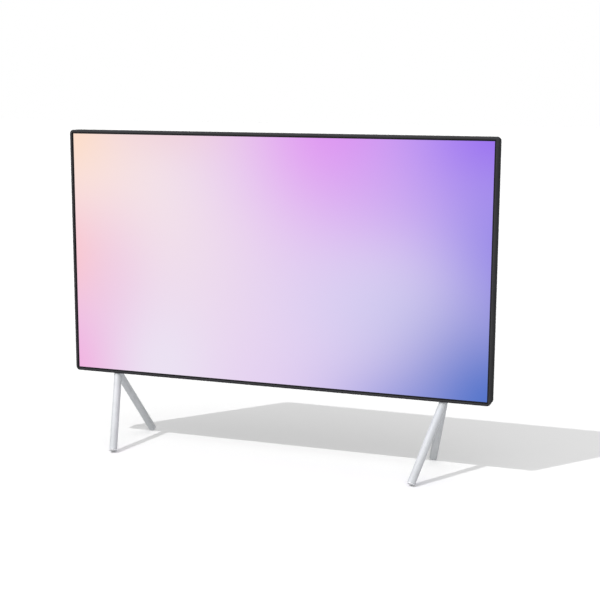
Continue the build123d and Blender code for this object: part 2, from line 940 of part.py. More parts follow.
def make_boards():
    names = ("main", "power", "timing", "radio")
    places = [place for name in names for place in board_holes(name)]
    save("board_standoffs", group(standoff(x, z) for x, z in places))
    screws = [board_screw(x, z) for x, z in places]
    screws += [key_board_screw(x, z) for x, z in key_board_holes()]
    save("board_screws", group(screws))
    save("main_board", main_board())
    save("power_board", power_board())
    save("timing_board", timing_board())
    left, right, low, high = board_outline("radio")
    shield = block(left + 2 * board_hole_inset, right - 2 * board_hole_inset, board_back,
                   board_back + connector_height / 2, low + fit_gap, high - fit_gap)
    save("wifi_module", bare_board("radio") + shield)
    save("main_board_chips", group(main_board_chips()))
    left, low, rise = sink_place()
    save("processor_heat_sink", heat_sink(left, low, sink_width, rise, board_back + sink_height))
    left, right, low, high = board_outline("power")
    middle = (low + high) / 2
    save("power_transformers", group(transformer(left + share * power_board_width, middle)
                                     for share in transformer_shares))
    save("power_capacitors", group(capacitor(left + share * power_board_width, high - 3 * capacitor_radius)
                                   for share in capacitor_shares))
    save("power_heat_sinks", group(power_sink(left + share * power_board_width,
                                              low + inlet_depth + board_hole_inset)
                                   for share in power_sink_shares))
    save("source_boards", group(source_board(side) for side in (-1, 1)))
    save("panel_flexes", group(panel_flex(x) for x in flex_places()))
    save("ribbon_cables", group([timing_ribbon(share) for share in ribbon_shares] + [main_ribbon()]))
    save("power_leads", group(power_wire(index) for index in range(wire_count)))


# Sockets: each stands on the back of its board and faces down through the recess wall

def socket_x(share):
    return main_board_left + share * main_board_width


def socket_body(middle, width, height, depth):
    """The outer block of a socket, with its mouth flush with the top of the recess."""
    return block(middle - width / 2, middle + width / 2, board_back, board_back + height,
                 recess_top_z, recess_top_z + depth)


def socket_mouth(middle, width, front, back, depth):
    """The hollow of a socket, open downwards."""
    return block(middle - width / 2, middle + width / 2, front, back,
                 recess_top_z - overrun, recess_top_z + depth)


def hdmi_socket(middle):
    """A shell with two clipped corners round a flat tongue."""
    half = hdmi_width / 2
    clip = hdmi_height / 4
    outline = [(-half + clip, 0), (half - clip, 0), (half, clip), (half, hdmi_height),
               (-half, hdmi_height), (-half, clip)]
    plane = Plane(origin=(middle, front_y + board_back, recess_top_z), x_dir=(1, 0, 0), z_dir=(0, 0, 1))
    shell = solid_polygon(plane, outline, hdmi_depth)
    inner = [(x * (1 - 2 * socket_wall / hdmi_width),
              socket_wall + z * (1 - 2 * socket_wall / hdmi_height)) for x, z in outline]
    shell -= solid_polygon(plane.offset(-overrun), inner, hdmi_depth + overrun - socket_wall)
    middle_depth = board_back + hdmi_height / 2
    tongue = block(middle - half * 2 / 3, middle + half * 2 / 3,
                   middle_depth - hdmi_tongue / 2, middle_depth + hdmi_tongue / 2,
                   recess_top_z + socket_wall, recess_top_z + hdmi_depth)
    return shell + tongue


def usb_socket(middle):
    """A square shell with its tongue beside one wall."""
    shell = socket_body(middle, usb_width, usb_height, usb_depth)
    shell -= socket_mouth(middle, usb_width - 2 * socket_wall, board_back + socket_wall,
                          board_back + usb_height - socket_wall, usb_depth - socket_wall)
    front = board_back + 2 * socket_wall
    tongue = block(middle - usb_width / 3, middle + usb_width / 3, front, front + usb_tongue,
                   recess_top_z + socket_wall, recess_top_z + usb_depth)
    return shell + tongue


def network_socket():
    """A block with a stepped mouth for the plug and its latch."""
    middle = socket_x(network_share)
    front = board_back + (network_height - network_mouth_height) / 2
    back = front + network_mouth_height
    body = socket_body(middle, network_width, network_height, network_depth)
    body -= socket_mouth(middle, network_mouth_width, front, back, network_cavity)
    return body - socket_mouth(middle, network_latch_width, back - overrun,
                               back + network_latch_height, network_cavity)


def optical_socket():
    """A small block with a square mouth."""
    middle = socket_x(optical_share)
    margin = (optical_size - optical_mouth) / 2
    body = socket_body(middle, optical_size, optical_size, optical_depth)
    return body - socket_mouth(middle, optical_mouth, board_back + margin,
                               board_back + optical_size - margin, optical_cavity)


def aerial_socket():
    """A screened block with a round barrel and a centre pin."""
    middle = socket_x(aerial_share)
    low = recess_top_z + aerial_barrel
    body = block(middle - aerial_block / 2, middle + aerial_block / 2, board_back,
                 board_back + aerial_block, low, low + aerial_depth)
    place = Pos(middle, front_y + board_back + aerial_block / 2, recess_top_z)
    barrel = Cylinder(aerial_radius, aerial_barrel, align=(Align.CENTER, Align.CENTER, Align.MIN))
    bore = Cylinder(aerial_bore, aerial_barrel, align=(Align.CENTER, Align.CENTER, Align.MIN))
    pin = Cylinder(aerial_pin, aerial_barrel - socket_wall,
                   align=(Align.CENTER, Align.CENTER, Align.MIN))
    return body + place * (barrel - bore) + Pos(0, 0, socket_wall) * place * pin


def inlet_x():
    return power_board_left + inlet_share * power_board_width


def ac_inlet():
    """A two-pin inlet with a rounded mouth."""
    body = block(inlet_x() - inlet_width / 2, inlet_x() + inlet_width / 2, board_back,
                 board_back + inlet_height, recess_top_z, recess_top_z + inlet_depth)
    plane = Plane(origin=(inlet_x(), front_y + board_back + inlet_height / 2, recess_top_z - overrun),
                  x_dir=(1, 0, 0), z_dir=(0, 0, 1))
    mouth = SlotOverall(inlet_mouth_width, inlet_mouth_height)
    body -= extrude(plane * mouth, amount=inlet_cavity + overrun)
    top = recess_top_z + inlet_cavity
    for side in (-1, 1):
        pin = Cylinder(inlet_pin_radius, inlet_pin_length,
                       align=(Align.CENTER, Align.CENTER, Align.MAX))
        body += Pos(inlet_x() + side * inlet_pin_spacing / 2,
                    front_y + board_back + inlet_height / 2, top) * pin
    return body


def make_sockets():
    save("hdmi_sockets", group(hdmi_socket(socket_x(share)) for share in hdmi_shares))
    save("usb_sockets", group(usb_socket(socket_x(share)) for share in usb_shares))
    save("network_socket", network_socket())
    save("optical_socket", optical_socket())
    save("aerial_socket", aerial_socket())
    save("ac_inlet", ac_inlet())


# Loudspeakers, one near each lower corner, that face backwards

def speaker_box(side):
    """A closed box with a round well for its driver."""
    front = chassis_back + grommet_height
    low = leg_height + speaker_low
    outline = Pos(side * speaker_x, low + speaker_height / 2) * RectangleRounded(
        speaker_width, speaker_height, speaker_corner)
    box = slab(outline, front, front + speaker_depth)
    well_front = front + speaker_depth + driver_flange_thickness - driver_depth - fit_gap
    return box - bar(side * speaker_x, speaker_z, driver_radius + fit_gap, driver_sides, well_front,
                     front + speaker_depth + overrun)


def driver_back():
    """Depth of the driver's rim and of the cone's edge within it."""
    return chassis_back + grommet_height + speaker_depth + driver_flange_thickness


def driver(side):
    """A basket with a rim, hollow from the back, and the magnet on its floor."""
    back = driver_back()

    def ring(radius, front, back):
        return bar(side * speaker_x, speaker_z, radius, driver_sides, front, back)

    floor = back - driver_depth
    basket = ring(driver_radius, floor, back)
    basket += ring(driver_radius + driver_flange, back - driver_flange_thickness, back)
    basket -= ring(driver_radius - driver_wall, floor + driver_wall, back + overrun)
    return basket + ring(magnet_radius, floor + driver_wall, floor + driver_wall + magnet_height)


def speaker_cone(side):
    """A paper cone, hollow from the back, with a flat edge and a cap over its neck."""
    x = side * speaker_x
    back = driver_back()
    outer = driver_radius - driver_wall - fit_gap
    fold = outer - cone_rim
    neck = back - cone_depth
    inner_neck = neck + cone_thickness
    cone = flared_bar(x, speaker_z, cone_neck, fold, driver_sides, neck, back - cone_thickness)
    cone += bar(x, speaker_z, outer, driver_sides, back - cone_thickness, back)
    cone -= flared_bar(x, speaker_z, cone_neck - cone_thickness, fold - cone_thickness, driver_sides,
                       inner_neck, back)
    return cone + flared_bar(x, speaker_z, cone_neck, cone_neck / 2, driver_sides, inner_neck,
                             inner_neck + cone_dome)


def grommet(side, end):
    """A rubber ring between the chassis and the speaker box."""
    middle = leg_height + speaker_low + speaker_height / 2
    z = middle + end * (speaker_height / 2 - grommet_inset)
    ring = bar(side * speaker_x, z, grommet_radius, ring_sides, chassis_back,
               chassis_back + grommet_height)
    return ring - bar(side * speaker_x, z, grommet_bore, ring_sides, chassis_back - overrun,
                      chassis_back + grommet_height + overrun)


def make_speakers():
    for name, side in (("left", -1), ("right", 1)):
        save(f"{name}_speaker_box", speaker_box(side))
        save(f"{name}_speaker_cone", speaker_cone(side))
    save("speaker_drivers", group(driver(side) for side in (-1, 1)))
    save("speaker_grommets", group(grommet(side, end) for side in (-1, 1) for end in (-1, 1)))


# Keys at the back, their board, and the sensor behind a window in the underside

def key_cap(x):
    """A round cap that stands proud of the cover, with a flange behind it."""
    flange_back = cover_front - fit_gap
    cap = rod(x, key_z, key_radius, flange_back, body_depth + key_proud)
    return cap + bar(x, key_z, key_flange_radius, ring_sides, flange_back - key_flange, flange_back)


def key_board():
    """The board with a push switch under each cap."""
    half = key_board_width / 2
    board = block(-half, half, key_board_back - board_thickness, key_board_back,
                  key_z - key_board_height / 2, key_z + key_board_height / 2)
    for x, z in key_board_holes():
        board -= bar(x, z, board_screw_radius + hole_clearance, fastener_sides,
                     key_board_back - board_thickness - overrun, key_board_back + overrun)
    flange_front = cover_front - fit_gap - key_flange
    button_back = flange_front - key_travel - switch_clearance
    for index in (-1, 0, 1):
        x = index * key_spacing
        half_switch = switch_size / 2
        board += block(x - half_switch, x + half_switch, key_board_back, button_back - switch_button,
                       key_z - half_switch, key_z + half_switch)
        board += bar(x, key_z, switch_button_radius, ring_sides, button_back - switch_button,
                     button_back)
    return board


def sensor_window():
    """A dark window flush with the underside, with a flange and two posts above."""
    half = window_width / 2
    plate = block(-half, half, window_front, window_back, leg_height, leg_height + rail_wall)
    low, high = leg_height + rail_wall, leg_height + 2 * rail_wall
    plate += block(-half - window_flange, half + window_flange, window_front - window_flange,
                   window_back + window_flange, low, high)
    for side in (-1, 1):
        left, right = sorted((side * (half + window_flange), side * (half - window_flange)))
        plate += block(left, right, window_front, window_back, high, high + window_post)
    return plate


def sensor_board():
    half = window_width / 2 + window_flange
    low = leg_height + 2 * rail_wall + window_post
    middle = (window_front + window_back) / 2
    return block(-half, half, middle - sensor_board_depth / 2, middle + sensor_board_depth / 2,
                 low, low + board_thickness)


def make_controls():
    save("volume_down_key", key_cap(-key_spacing))
    save("power_key", key_cap(0))
    save("volume_up_key", key_cap(key_spacing))
    save("key_board", key_board())
    save("sensor_window", sensor_window())
    save("sensor_board", sensor_board())


# Rear cover: one moulding with vents, grilles, wells and two socket recesses

def cover_screw_places():
    """Middle of each screw round the edge of the cover."""
    reach_x = body_width / 2 - cover_screw_inset
    reach_z = body_height / 2 - cover_screw_inset
    across = [(share * reach_x, middle_z + end * reach_z) for share in cover_screw_shares for end in (-1, 1)]
    upright = [(end * reach_x, middle_z + share * reach_z) for share in cover_side_screw_shares
               for end in (-1, 1)]
    return across + upright


def recess_prism(middle, width, wall, proud):
    """A recess, square at the top and ramped at the bottom, grown by a wall and left proud behind."""
    floor = body_depth - recess_depth - wall
    high = recess_top_z + wall
    low = recess_top_z - recess_height - wall
    slope = recess_ramp / (recess_depth + wall)
    back = body_depth + proud
    side = [(floor, high), (back, high), (back, low - proud * slope), (floor, low + recess_ramp)]
    half = width / 2 + wall
    return solid_polygon(side_plane(middle - half), side, 2 * half)


def recess_mouth(middle, width):
    """A flare round the top and the sides of a recess where it opens in the back."""
    low = recess_top_z - recess_height
    rise = recess_flare * recess_ramp / recess_depth

    def corners(grown, lowest):
        left, right = middle - width / 2 - grown, middle + width / 2 + grown
        return [(left, lowest), (right, lowest), (right, recess_top_z + grown), (left, recess_top_z + grown)]
    return tapered(corners(0, low + rise), body_depth - recess_flare, corners(recess_flare, low), body_depth)


def groove(height):
    """A shallow line across the back."""
    half = body_width / 2 - groove_inset
    return block(-half, half, body_depth - groove_depth, body_depth + overrun,
                 height - groove_width / 2, height + groove_width / 2)


def socket_openings():
    """Cut-outs in the top wall of the recesses, one for each socket."""
    sockets = [(socket_x(share), hdmi_width, hdmi_height) for share in hdmi_shares]
    sockets += [(socket_x(share), usb_width, usb_height) for share in usb_shares]
    sockets += [(socket_x(network_share), network_width, network_height),
                (socket_x(optical_share), optical_size, optical_size),
                (inlet_x(), inlet_width, inlet_height)]
    for middle, width, height in sockets:
        yield block(middle - width / 2 - socket_gap, middle + width / 2 + socket_gap,
                    board_back - socket_gap, board_back + height + socket_gap,
                    recess_top_z - overrun, recess_top_z + cover_thickness + overrun)
    radius = aerial_radius + socket_gap
    yield Pos(socket_x(aerial_share), front_y + board_back + aerial_block / 2,
              recess_top_z + cover_thickness / 2) * Cylinder(radius, cover_thickness + 2 * overrun)


def vent_row(span, middle, height):
    """Upright slots side by side."""
    count = int(span / vent_spacing)
    for index in range(count):
        x = (index - (count - 1) / 2) * vent_spacing
        yield block(x - vent_width / 2, x + vent_width / 2, cover_front - overrun, body_depth + overrun,
                    middle - height / 2, middle + height / 2)


def grille(side):
    """Slots across the speaker's cone, shorter towards the top and the bottom."""
    reach = driver_radius
    count = int(2 * reach / grille_spacing)
    for index in range(count):
        offset = (index - (count - 1) / 2) * grille_spacing
        half = math.sqrt(reach ** 2 - offset ** 2) * grille_width / (2 * reach)
        yield block(side * speaker_x - half, side * speaker_x + half, cover_front - overrun,
                    body_depth + overrun, speaker_z + offset - grille_slot / 2,
                    speaker_z + offset + grille_slot / 2)


def rear_cover():
    inset = rail_wall + cover_gap
    bevelled = inset + cover_bevel
    plate = slab(rounded(inset, corner_radius - inset), cover_front, body_depth - cover_bevel)
    plate += loft([facing(body_depth - cover_bevel) * rounded(inset, corner_radius - inset),
                   facing(body_depth) * rounded(bevelled, corner_radius - bevelled)], ruled=True)
    recesses = ((board_offset, recess_width), (inlet_x(), inlet_recess_width))
    for middle, width in recesses:
        plate += recess_prism(middle, width, cover_thickness, 0)
    ribs_low = leg_height + cover_rib_low
    for share in cover_rib_shares:
        x = share * body_width / 2
        plate += block(x - cover_rib / 2, x + cover_rib / 2, cover_front - cover_rib_depth, cover_front,
                       ribs_low, ribs_low + cover_rib_height)
    for x, z in key_board_holes():
        plate += bar(x, z, post_radius, fastener_sides, key_board_back, cover_front)
    cuts = [recess_prism(middle, width, 0, overrun) for middle, width in recesses]
    cuts += [recess_mouth(middle, width) for middle, width in recesses]
    cuts += [groove(body_top - high_groove_drop), groove(recess_top_z + low_groove_rise)]
    cuts += list(socket_openings())
    cuts += list(vent_row(top_vent_span, body_top - top_vent_drop, vent_height))
    cuts += list(vent_row(low_vent_span, leg_height + low_vent_rise, low_vent_height))
    cuts += [slot for side in (-1, 1) for slot in grille(side)]
    for x, z in wall_mount_places():
        cuts.append(bar(x, z, insert_radius + fit_gap, ring_sides, cover_front - overrun,
                        body_depth + overrun))
    for side in (-1, 1):
        for x, z in foot_screw_places(side):
            cuts.append(bar(x, z, foot_screw_access, ring_sides, cover_front - overrun,
                            body_depth + overrun))
    for index in (-1, 0, 1):
        cuts.append(rod(index * key_spacing, key_z, key_radius + fit_gap, cover_front - overrun,
                        body_depth + overrun))
    for x, z in key_board_holes():
        cuts.append(bar(x, z, board_screw_radius + hole_clearance, fastener_sides,
                        key_board_back - overrun,
                        key_board_back - board_thickness + board_screw_length + fit_gap))
    for x, z in cover_screw_places():
        cuts.append(bar(x, z, cover_screw_radius + hole_clearance, fastener_sides,
                        cover_front - overrun, body_depth + overrun))
        cuts.append(bar(x, z, cover_screw_head_radius + fit_gap, ring_sides,
                        body_depth - cover_screw_sink, body_depth + overrun))
    return plate.cut(*cuts)


def cover_screw(x, z):
    """A small screw whose head lies in a counterbore of the cover."""
    seat = body_depth - cover_screw_sink
    head = bar(x, z, cover_screw_head_radius, ring_sides, seat, seat + cover_screw_head)
    return head + bar(x, z, cover_screw_radius, fastener_sides, seat - cover_screw_length, seat)


def make_cover():
    save("rear_cover", rear_cover())
    save("cover_screws", group(cover_screw(x, z) for x, z in cover_screw_places()))


# Feet: brackets in the underside, mitred tubes and the plugs in their ends

def foot_bracket():
    """A stepped plate flush with the underside, with a screwed tongue and two gussets."""
    half = bracket_width / 2
    front = (body_depth - bracket_depth) / 2
    back = (body_depth + bracket_depth) / 2
    step = chassis_back + fit_gap
    plate = block(foot_x - half, foot_x + half, front, back, leg_height, leg_height + rail_wall)
    plate += block(foot_x - half, foot_x + half, step, back, leg_height, leg_height + bracket_block)
    outline = [(-tongue_width / 2, 0), (-tongue_width / 2, tongue_height - tongue_corner),
               (-tongue_width / 2 + tongue_corner, tongue_height),
               (tongue_width / 2 - tongue_corner, tongue_height),
               (tongue_width / 2, tongue_height - tongue_corner), (tongue_width / 2, 0)]
    points = [(foot_x + x, leg_height + z) for x, z in outline]
    plate += solid_polygon(facing(pad_back), points, -tongue_thickness)
    behind = pad_back + tongue_thickness
    for side in (-1, 1):
        x = foot_x + side * gusset_spacing / 2
        corners = [(behind, leg_height + bracket_block), (behind + gusset_depth, leg_height + bracket_block),
                   (behind, leg_height + bracket_block + gusset_height)]
        plate += solid_polygon(side_plane(x - gusset_thickness / 2), corners, gusset_thickness)
    for x, z in foot_screw_places(1):
        plate -= bar(x, z, foot_screw_radius + hole_clearance, fastener_sides, pad_back - overrun,
                     behind + overrun)
    return plate


def foot_screw(x, z):
    seat = pad_back + tongue_thickness
    head = bar(x, z, foot_screw_head_radius, fastener_sides, seat, seat + foot_screw_head)
    return head + bar(x, z, foot_screw_radius, fastener_sides, seat - foot_screw_length, seat)


def apex():
    """The point under the set where the axes of a right-hand pair of legs meet."""
    return Vector(foot_x, body_middle_y, leg_height)


def leg(run, other_run):
    """A tube cut level at the top, mitred against its partner and square at the foot."""
    axis = leg_axis(run)
    length = leg_end(run) - glide_flange
    end = apex() + axis * length
    reach = length + tube_diameter
    plane = Plane(origin=end, z_dir=-axis)
    low = (Align.CENTER, Align.CENTER, Align.MIN)
    tube = plane * Cylinder(tube_radius, reach, align=low)
    bore = plane.offset(-overrun) * Cylinder(tube_radius - tube_wall, reach + 2 * overrun, align=low)
    tube = tube - bore
    mitre = Plane(origin=apex(), z_dir=axis - leg_axis(other_run))
    tube = split(tube, bisect_by=mitre, keep=Keep.TOP)
    return split(tube, bisect_by=Plane(origin=apex(), z_dir=(0, 0, 1)), keep=Keep.BOTTOM)


def glide(run):
    """A plug with a flange as wide as the tube, worn flat where it meets the floor."""
    axis = leg_axis(run)
    end = apex() + axis * leg_end(run)
    plane = Plane(origin=end, z_dir=-axis)
    low = (Align.CENTER, Align.CENTER, Align.MIN)
    plug = plane * Cylinder(tube_radius, glide_flange, align=low)
    plug += plane * Cylinder(tube_radius - tube_wall - glide_clearance, glide_flange + glide_shank, align=low)
    floor = Pos(end.X, end.Y, -tube_diameter / 2) * Box(4 * tube_diameter, 4 * tube_diameter, tube_diameter)
    return plug - floor


def both_sides(shape):
    """A right-hand piece and its mirror image."""
    return {"right": shape, "left": mirror(shape, about=Plane.YZ)}


def make_feet():
    runs = {"front": (-front_run, rear_run), "rear": (rear_run, -front_run)}
    for end, (run, other) in runs.items():
        for side, shape in both_sides(leg(run, other)).items():
            save(f"{side}_{end}_leg", shape)
    for side, shape in both_sides(foot_bracket()).items():
        save(f"{side}_foot_bracket", shape)
    glides = [shape for run in (-front_run, rear_run) for shape in both_sides(glide(run)).values()]
    save("foot_glides", group(glides))
    save("foot_screws", group(foot_screw(x, z) for side in (-1, 1) for x, z in foot_screw_places(side)))


make_frame()
make_panel()
make_chassis()
make_boards()
make_sockets()
make_speakers()
make_controls()
make_cover()
make_feet()
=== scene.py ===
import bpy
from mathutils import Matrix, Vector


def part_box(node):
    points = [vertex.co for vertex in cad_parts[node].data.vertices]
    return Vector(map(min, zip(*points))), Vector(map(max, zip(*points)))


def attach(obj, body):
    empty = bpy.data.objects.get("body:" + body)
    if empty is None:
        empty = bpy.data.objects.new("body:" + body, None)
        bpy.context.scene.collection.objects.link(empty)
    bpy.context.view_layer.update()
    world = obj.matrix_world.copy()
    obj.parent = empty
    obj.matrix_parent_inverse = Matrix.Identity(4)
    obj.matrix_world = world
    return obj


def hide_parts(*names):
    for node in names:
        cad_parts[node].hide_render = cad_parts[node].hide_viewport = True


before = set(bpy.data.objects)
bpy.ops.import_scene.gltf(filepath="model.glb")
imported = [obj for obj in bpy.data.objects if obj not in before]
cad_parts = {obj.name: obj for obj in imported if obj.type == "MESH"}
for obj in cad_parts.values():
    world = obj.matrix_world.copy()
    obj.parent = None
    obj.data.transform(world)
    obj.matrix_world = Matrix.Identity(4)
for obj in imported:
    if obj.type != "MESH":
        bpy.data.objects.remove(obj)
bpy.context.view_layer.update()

import math

import bmesh
import bpy
from mathutils import Matrix, Vector


# Frame rails
# Four lengths of extruded aluminium in a satin charcoal powder coat, mitred at the corners. The front
# edge slopes back from a flat lip over the glass, and a step at the rear takes the cover.

def clear_selection():
    """Nothing stays selected, so that the next primitive is worked on alone."""
    if bpy.context.mode != "OBJECT":
        bpy.ops.object.mode_set(mode="OBJECT")
    bpy.ops.object.select_all(action="DESELECT")


def take(piece):
    """Makes one piece the only one selected."""
    clear_selection()
    piece.select_set(True)
    bpy.context.view_layer.objects.active = piece


def new_piece(name):
    """Names the primitive that was just added and puts its place into its mesh."""
    piece = bpy.context.object
    piece.name = name
    piece.data.name = name
    take(piece)
    bpy.ops.object.transform_apply(location=True, rotation=True, scale=True)
    return piece


def open_up(piece):
    """Starts work on the piece's faces."""
    take(piece)
    bpy.ops.object.mode_set(mode="EDIT")
    bpy.ops.mesh.select_mode(type="FACE")


def close_up():
    bpy.ops.object.mode_set(mode="OBJECT")


facing = 0.9  # a face whose normal has this much of a direction looks that way


def pick_faces(piece, test):
    """Selects the faces whose middle and normal pass the test."""
    mesh = bmesh.from_edit_mesh(piece.data)
    bpy.ops.mesh.select_all(action="DESELECT")
    for face in mesh.faces:
        if test(face.calc_center_median(), face.normal):
            face.select_set(True)
    bmesh.update_edit_mesh(piece.data)


def pick_edges(piece, test):
    """Selects the edges whose two ends pass the test."""
    mesh = bmesh.from_edit_mesh(piece.data)
    bpy.ops.mesh.select_mode(type="EDGE")
    bpy.ops.mesh.select_all(action="DESELECT")
    for edge in mesh.edges:
        if test(edge.verts[0].co, edge.verts[1].co):
            edge.select_set(True)
    bmesh.update_edit_mesh(piece.data)


hairline = 0.000002  # points closer than this are one


def face_outwards(piece):
    """Merges what lies together and turns every face outwards."""
    open_up(piece)
    bpy.ops.mesh.select_all(action="SELECT")
    bpy.ops.mesh.remove_doubles(threshold=hairline)
    bpy.ops.mesh.dissolve_degenerate(threshold=hairline)
    bpy.ops.mesh.normals_make_consistent(inside=False)
    close_up()


soft_edge_steps = 2
sharp_above, smooth_below = math.radians(25), math.radians(40)


def soften(piece, width):
    """Breaks the sharp edges, as tumbling or a coat of paint does, and smooths the rest."""
    take(piece)
    edge = piece.modifiers.new("edge", "BEVEL")
    edge.width = width
    edge.segments = soft_edge_steps
    edge.limit_method = "ANGLE"
    edge.angle_limit = sharp_above
    bpy.ops.object.modifier_apply(modifier=edge.name)
    bpy.ops.object.shade_smooth_by_angle(angle=smooth_below)


def cut_away(piece, tool):
    """Cuts the tool's shape out of the piece and throws the tool away."""
    take(piece)
    cut = piece.modifiers.new("cut", "BOOLEAN")
    cut.operation = "DIFFERENCE"
    cut.solver = "EXACT"
    cut.object = tool
    bpy.ops.object.modifier_apply(modifier=cut.name)
    bpy.data.objects.remove(tool)


hollow_corner_steps = 8


def box_tool(low, high, rounding=0.0):
    """A block to cut with, with its front-to-back edges rounded where the hollow's corners are."""
    clear_selection()
    middle = [(a + b) / 2 for a, b in zip(low, high)]
    bpy.ops.mesh.primitive_cube_add(size=1, location=middle, scale=[b - a for a, b in zip(low, high)])
    tool = new_piece("tool")
    if rounding:
        open_up(tool)
        pick_edges(tool, lambda a, b: abs(a.y - b.y) > (high[1] - low[1]) / 2)
        bpy.ops.mesh.bevel(offset=rounding, segments=hollow_corner_steps)
        close_up()
    return tool


def copy_of(piece, name):
    """A second piece with its own mesh."""
    copy = piece.copy()
    copy.data = piece.data.copy()
    copy.name = name
    copy.data.name = name
    bpy.context.scene.collection.objects.link(copy)
    return copy


fine_detail, slow_detail = 3, 2
tone_from, tone_to = 0.7, 1.3  # where the sum of both noises passes from one tone to the other


def grain_group():
    """Fine grain over slow, cloudy variation, which most of the set's finishes share."""
    group = bpy.data.node_groups.new("grain", "ShaderNodeTree")
    for label, kind, value in (("Tone", "NodeSocketColor", (0.5, 0.5, 0.5, 1)),
                               ("Second Tone", "NodeSocketColor", (0.5, 0.5, 0.5, 1)),
                               ("Grain", "NodeSocketFloat", 900.0),
                               ("Cloud", "NodeSocketFloat", 12.0),
                               ("Stretch", "NodeSocketVector", (1, 1, 1)),
                               ("Roughness", "NodeSocketFloat", 0.5),
                               ("Spread", "NodeSocketFloat", 0.1)):
        group.interface.new_socket(label, in_out="INPUT", socket_type=kind).default_value = value
    for label, kind in (("Color", "NodeSocketColor"), ("Roughness", "NodeSocketFloat"),
                        ("Height", "NodeSocketFloat")):
        group.interface.new_socket(label, in_out="OUTPUT", socket_type=kind)
    add, join = group.nodes.new, group.links.new
    given, result = add("NodeGroupInput"), add("NodeGroupOutput")
    place, stretched = add("ShaderNodeTexCoord"), add("ShaderNodeVectorMath")
    stretched.operation = "MULTIPLY"
    join(place.outputs["Object"], stretched.inputs[0])
    join(given.outputs["Stretch"], stretched.inputs[1])
    fine, slow = add("ShaderNodeTexNoise"), add("ShaderNodeTexNoise")
    fine.inputs["Detail"].default_value = fine_detail
    slow.inputs["Detail"].default_value = slow_detail
    for noise, size in ((fine, "Grain"), (slow, "Cloud")):
        join(stretched.outputs[0], noise.inputs["Vector"])
        join(given.outputs[size], noise.inputs["Scale"])
    blend = add("ShaderNodeMath")
    blend.operation = "ADD"
    join(fine.outputs["Fac"], blend.inputs[0])
    join(slow.outputs["Fac"], blend.inputs[1])
    spread_out = add("ShaderNodeMapRange")
    spread_out.inputs["From Min"].default_value = tone_from
    spread_out.inputs["From Max"].default_value = tone_to
    join(blend.outputs[0], spread_out.inputs["Value"])
    tone = add("ShaderNodeMix")
    tone.data_type = "RGBA"
    join(spread_out.outputs["Result"], tone.inputs["Factor"])
    join(given.outputs["Tone"], tone.inputs["A"])
    join(given.outputs["Second Tone"], tone.inputs["B"])
    sway, rough = add("ShaderNodeMath"), add("ShaderNodeMath")
    sway.operation = "SUBTRACT"
    sway.inputs[1].default_value = 0.5
    rough.operation = "MULTIPLY_ADD"
    join(slow.outputs["Fac"], sway.inputs[0])
    join(sway.outputs[0], rough.inputs[0])
    join(given.outputs["Spread"], rough.inputs[1])
    join(given.outputs["Roughness"], rough.inputs[2])
    join(tone.outputs["Result"], result.inputs["Color"])
    join(rough.outputs[0], result.inputs["Roughness"])
    join(fine.outputs["Fac"], result.inputs["Height"])
    return group


grain = grain_group()


def finish(name, tone, second_tone, grains, clouds, roughness, spread, relief, metallic=0.0,
           stretch=(1, 1, 1), coat=0.0, shine=0.5):
    """A finish of two close tones, with grains and clouds per metre and the grain's depth in metres."""
    material = bpy.data.materials.new(name)
    material.use_nodes = True
    add, join = material.node_tree.nodes.new, material.node_tree.links.new
    shader = material.node_tree.nodes["Principled BSDF"]
    surface, bump = add("ShaderNodeGroup"), add("ShaderNodeBump")
    surface.node_tree = grain
    for label, value in (("Tone", (*tone, 1)), ("Second Tone", (*second_tone, 1)), ("Grain", grains),
                         ("Cloud", clouds), ("Stretch", stretch), ("Roughness", roughness),
                         ("Spread", spread)):
        surface.inputs[label].default_value = value
    bump.inputs["Distance"].default_value = relief
    join(surface.outputs["Color"], shader.inputs["Base Color"])
    join(surface.outputs["Roughness"], shader.inputs["Roughness"])
    join(surface.outputs["Height"], bump.inputs["Height"])
    join(bump.outputs["Normal"], shader.inputs["Normal"])
    shader.inputs["Metallic"].default_value = metallic
    shader.inputs["Coat Weight"].default_value = coat
    shader.inputs["Specular IOR Level"].default_value = shine
    return material


def mount(piece, body, material, slot, *replaced):
    """Finishes a new piece and fixes it to its body, in place of the CAD nodes that it stands for."""
    piece.data.materials.clear()
    piece.data.materials.append(material)
    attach(piece, body)
    if replaced:
        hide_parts(*replaced)


charcoal = finish("charcoal_powder_coat", (0.060, 0.060, 0.064), (0.076, 0.076, 0.081),
                  grains=1400, clouds=9, roughness=0.60, spread=0.10, relief=0.00003, shine=0)

corner_radius = 0.011
nose_width, nose_depth = 0.0034, 0.0020
lip_width, lip_thickness = 0.0066, 0.0022
rail_wall, rear_slope = 0.0016, 0.0008
ledge_width, ledge_thickness = 0.0090, 0.0016
cover_thickness = 0.0020
corner_steps = 10
rail_softening = 0.00025
left, front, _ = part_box("frame_left_rail")[0]
right, back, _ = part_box("frame_right_rail")[1]
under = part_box("frame_bottom_rail")[0].z
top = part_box("frame_top_rail")[1].z
middle_z = (under + top) / 2

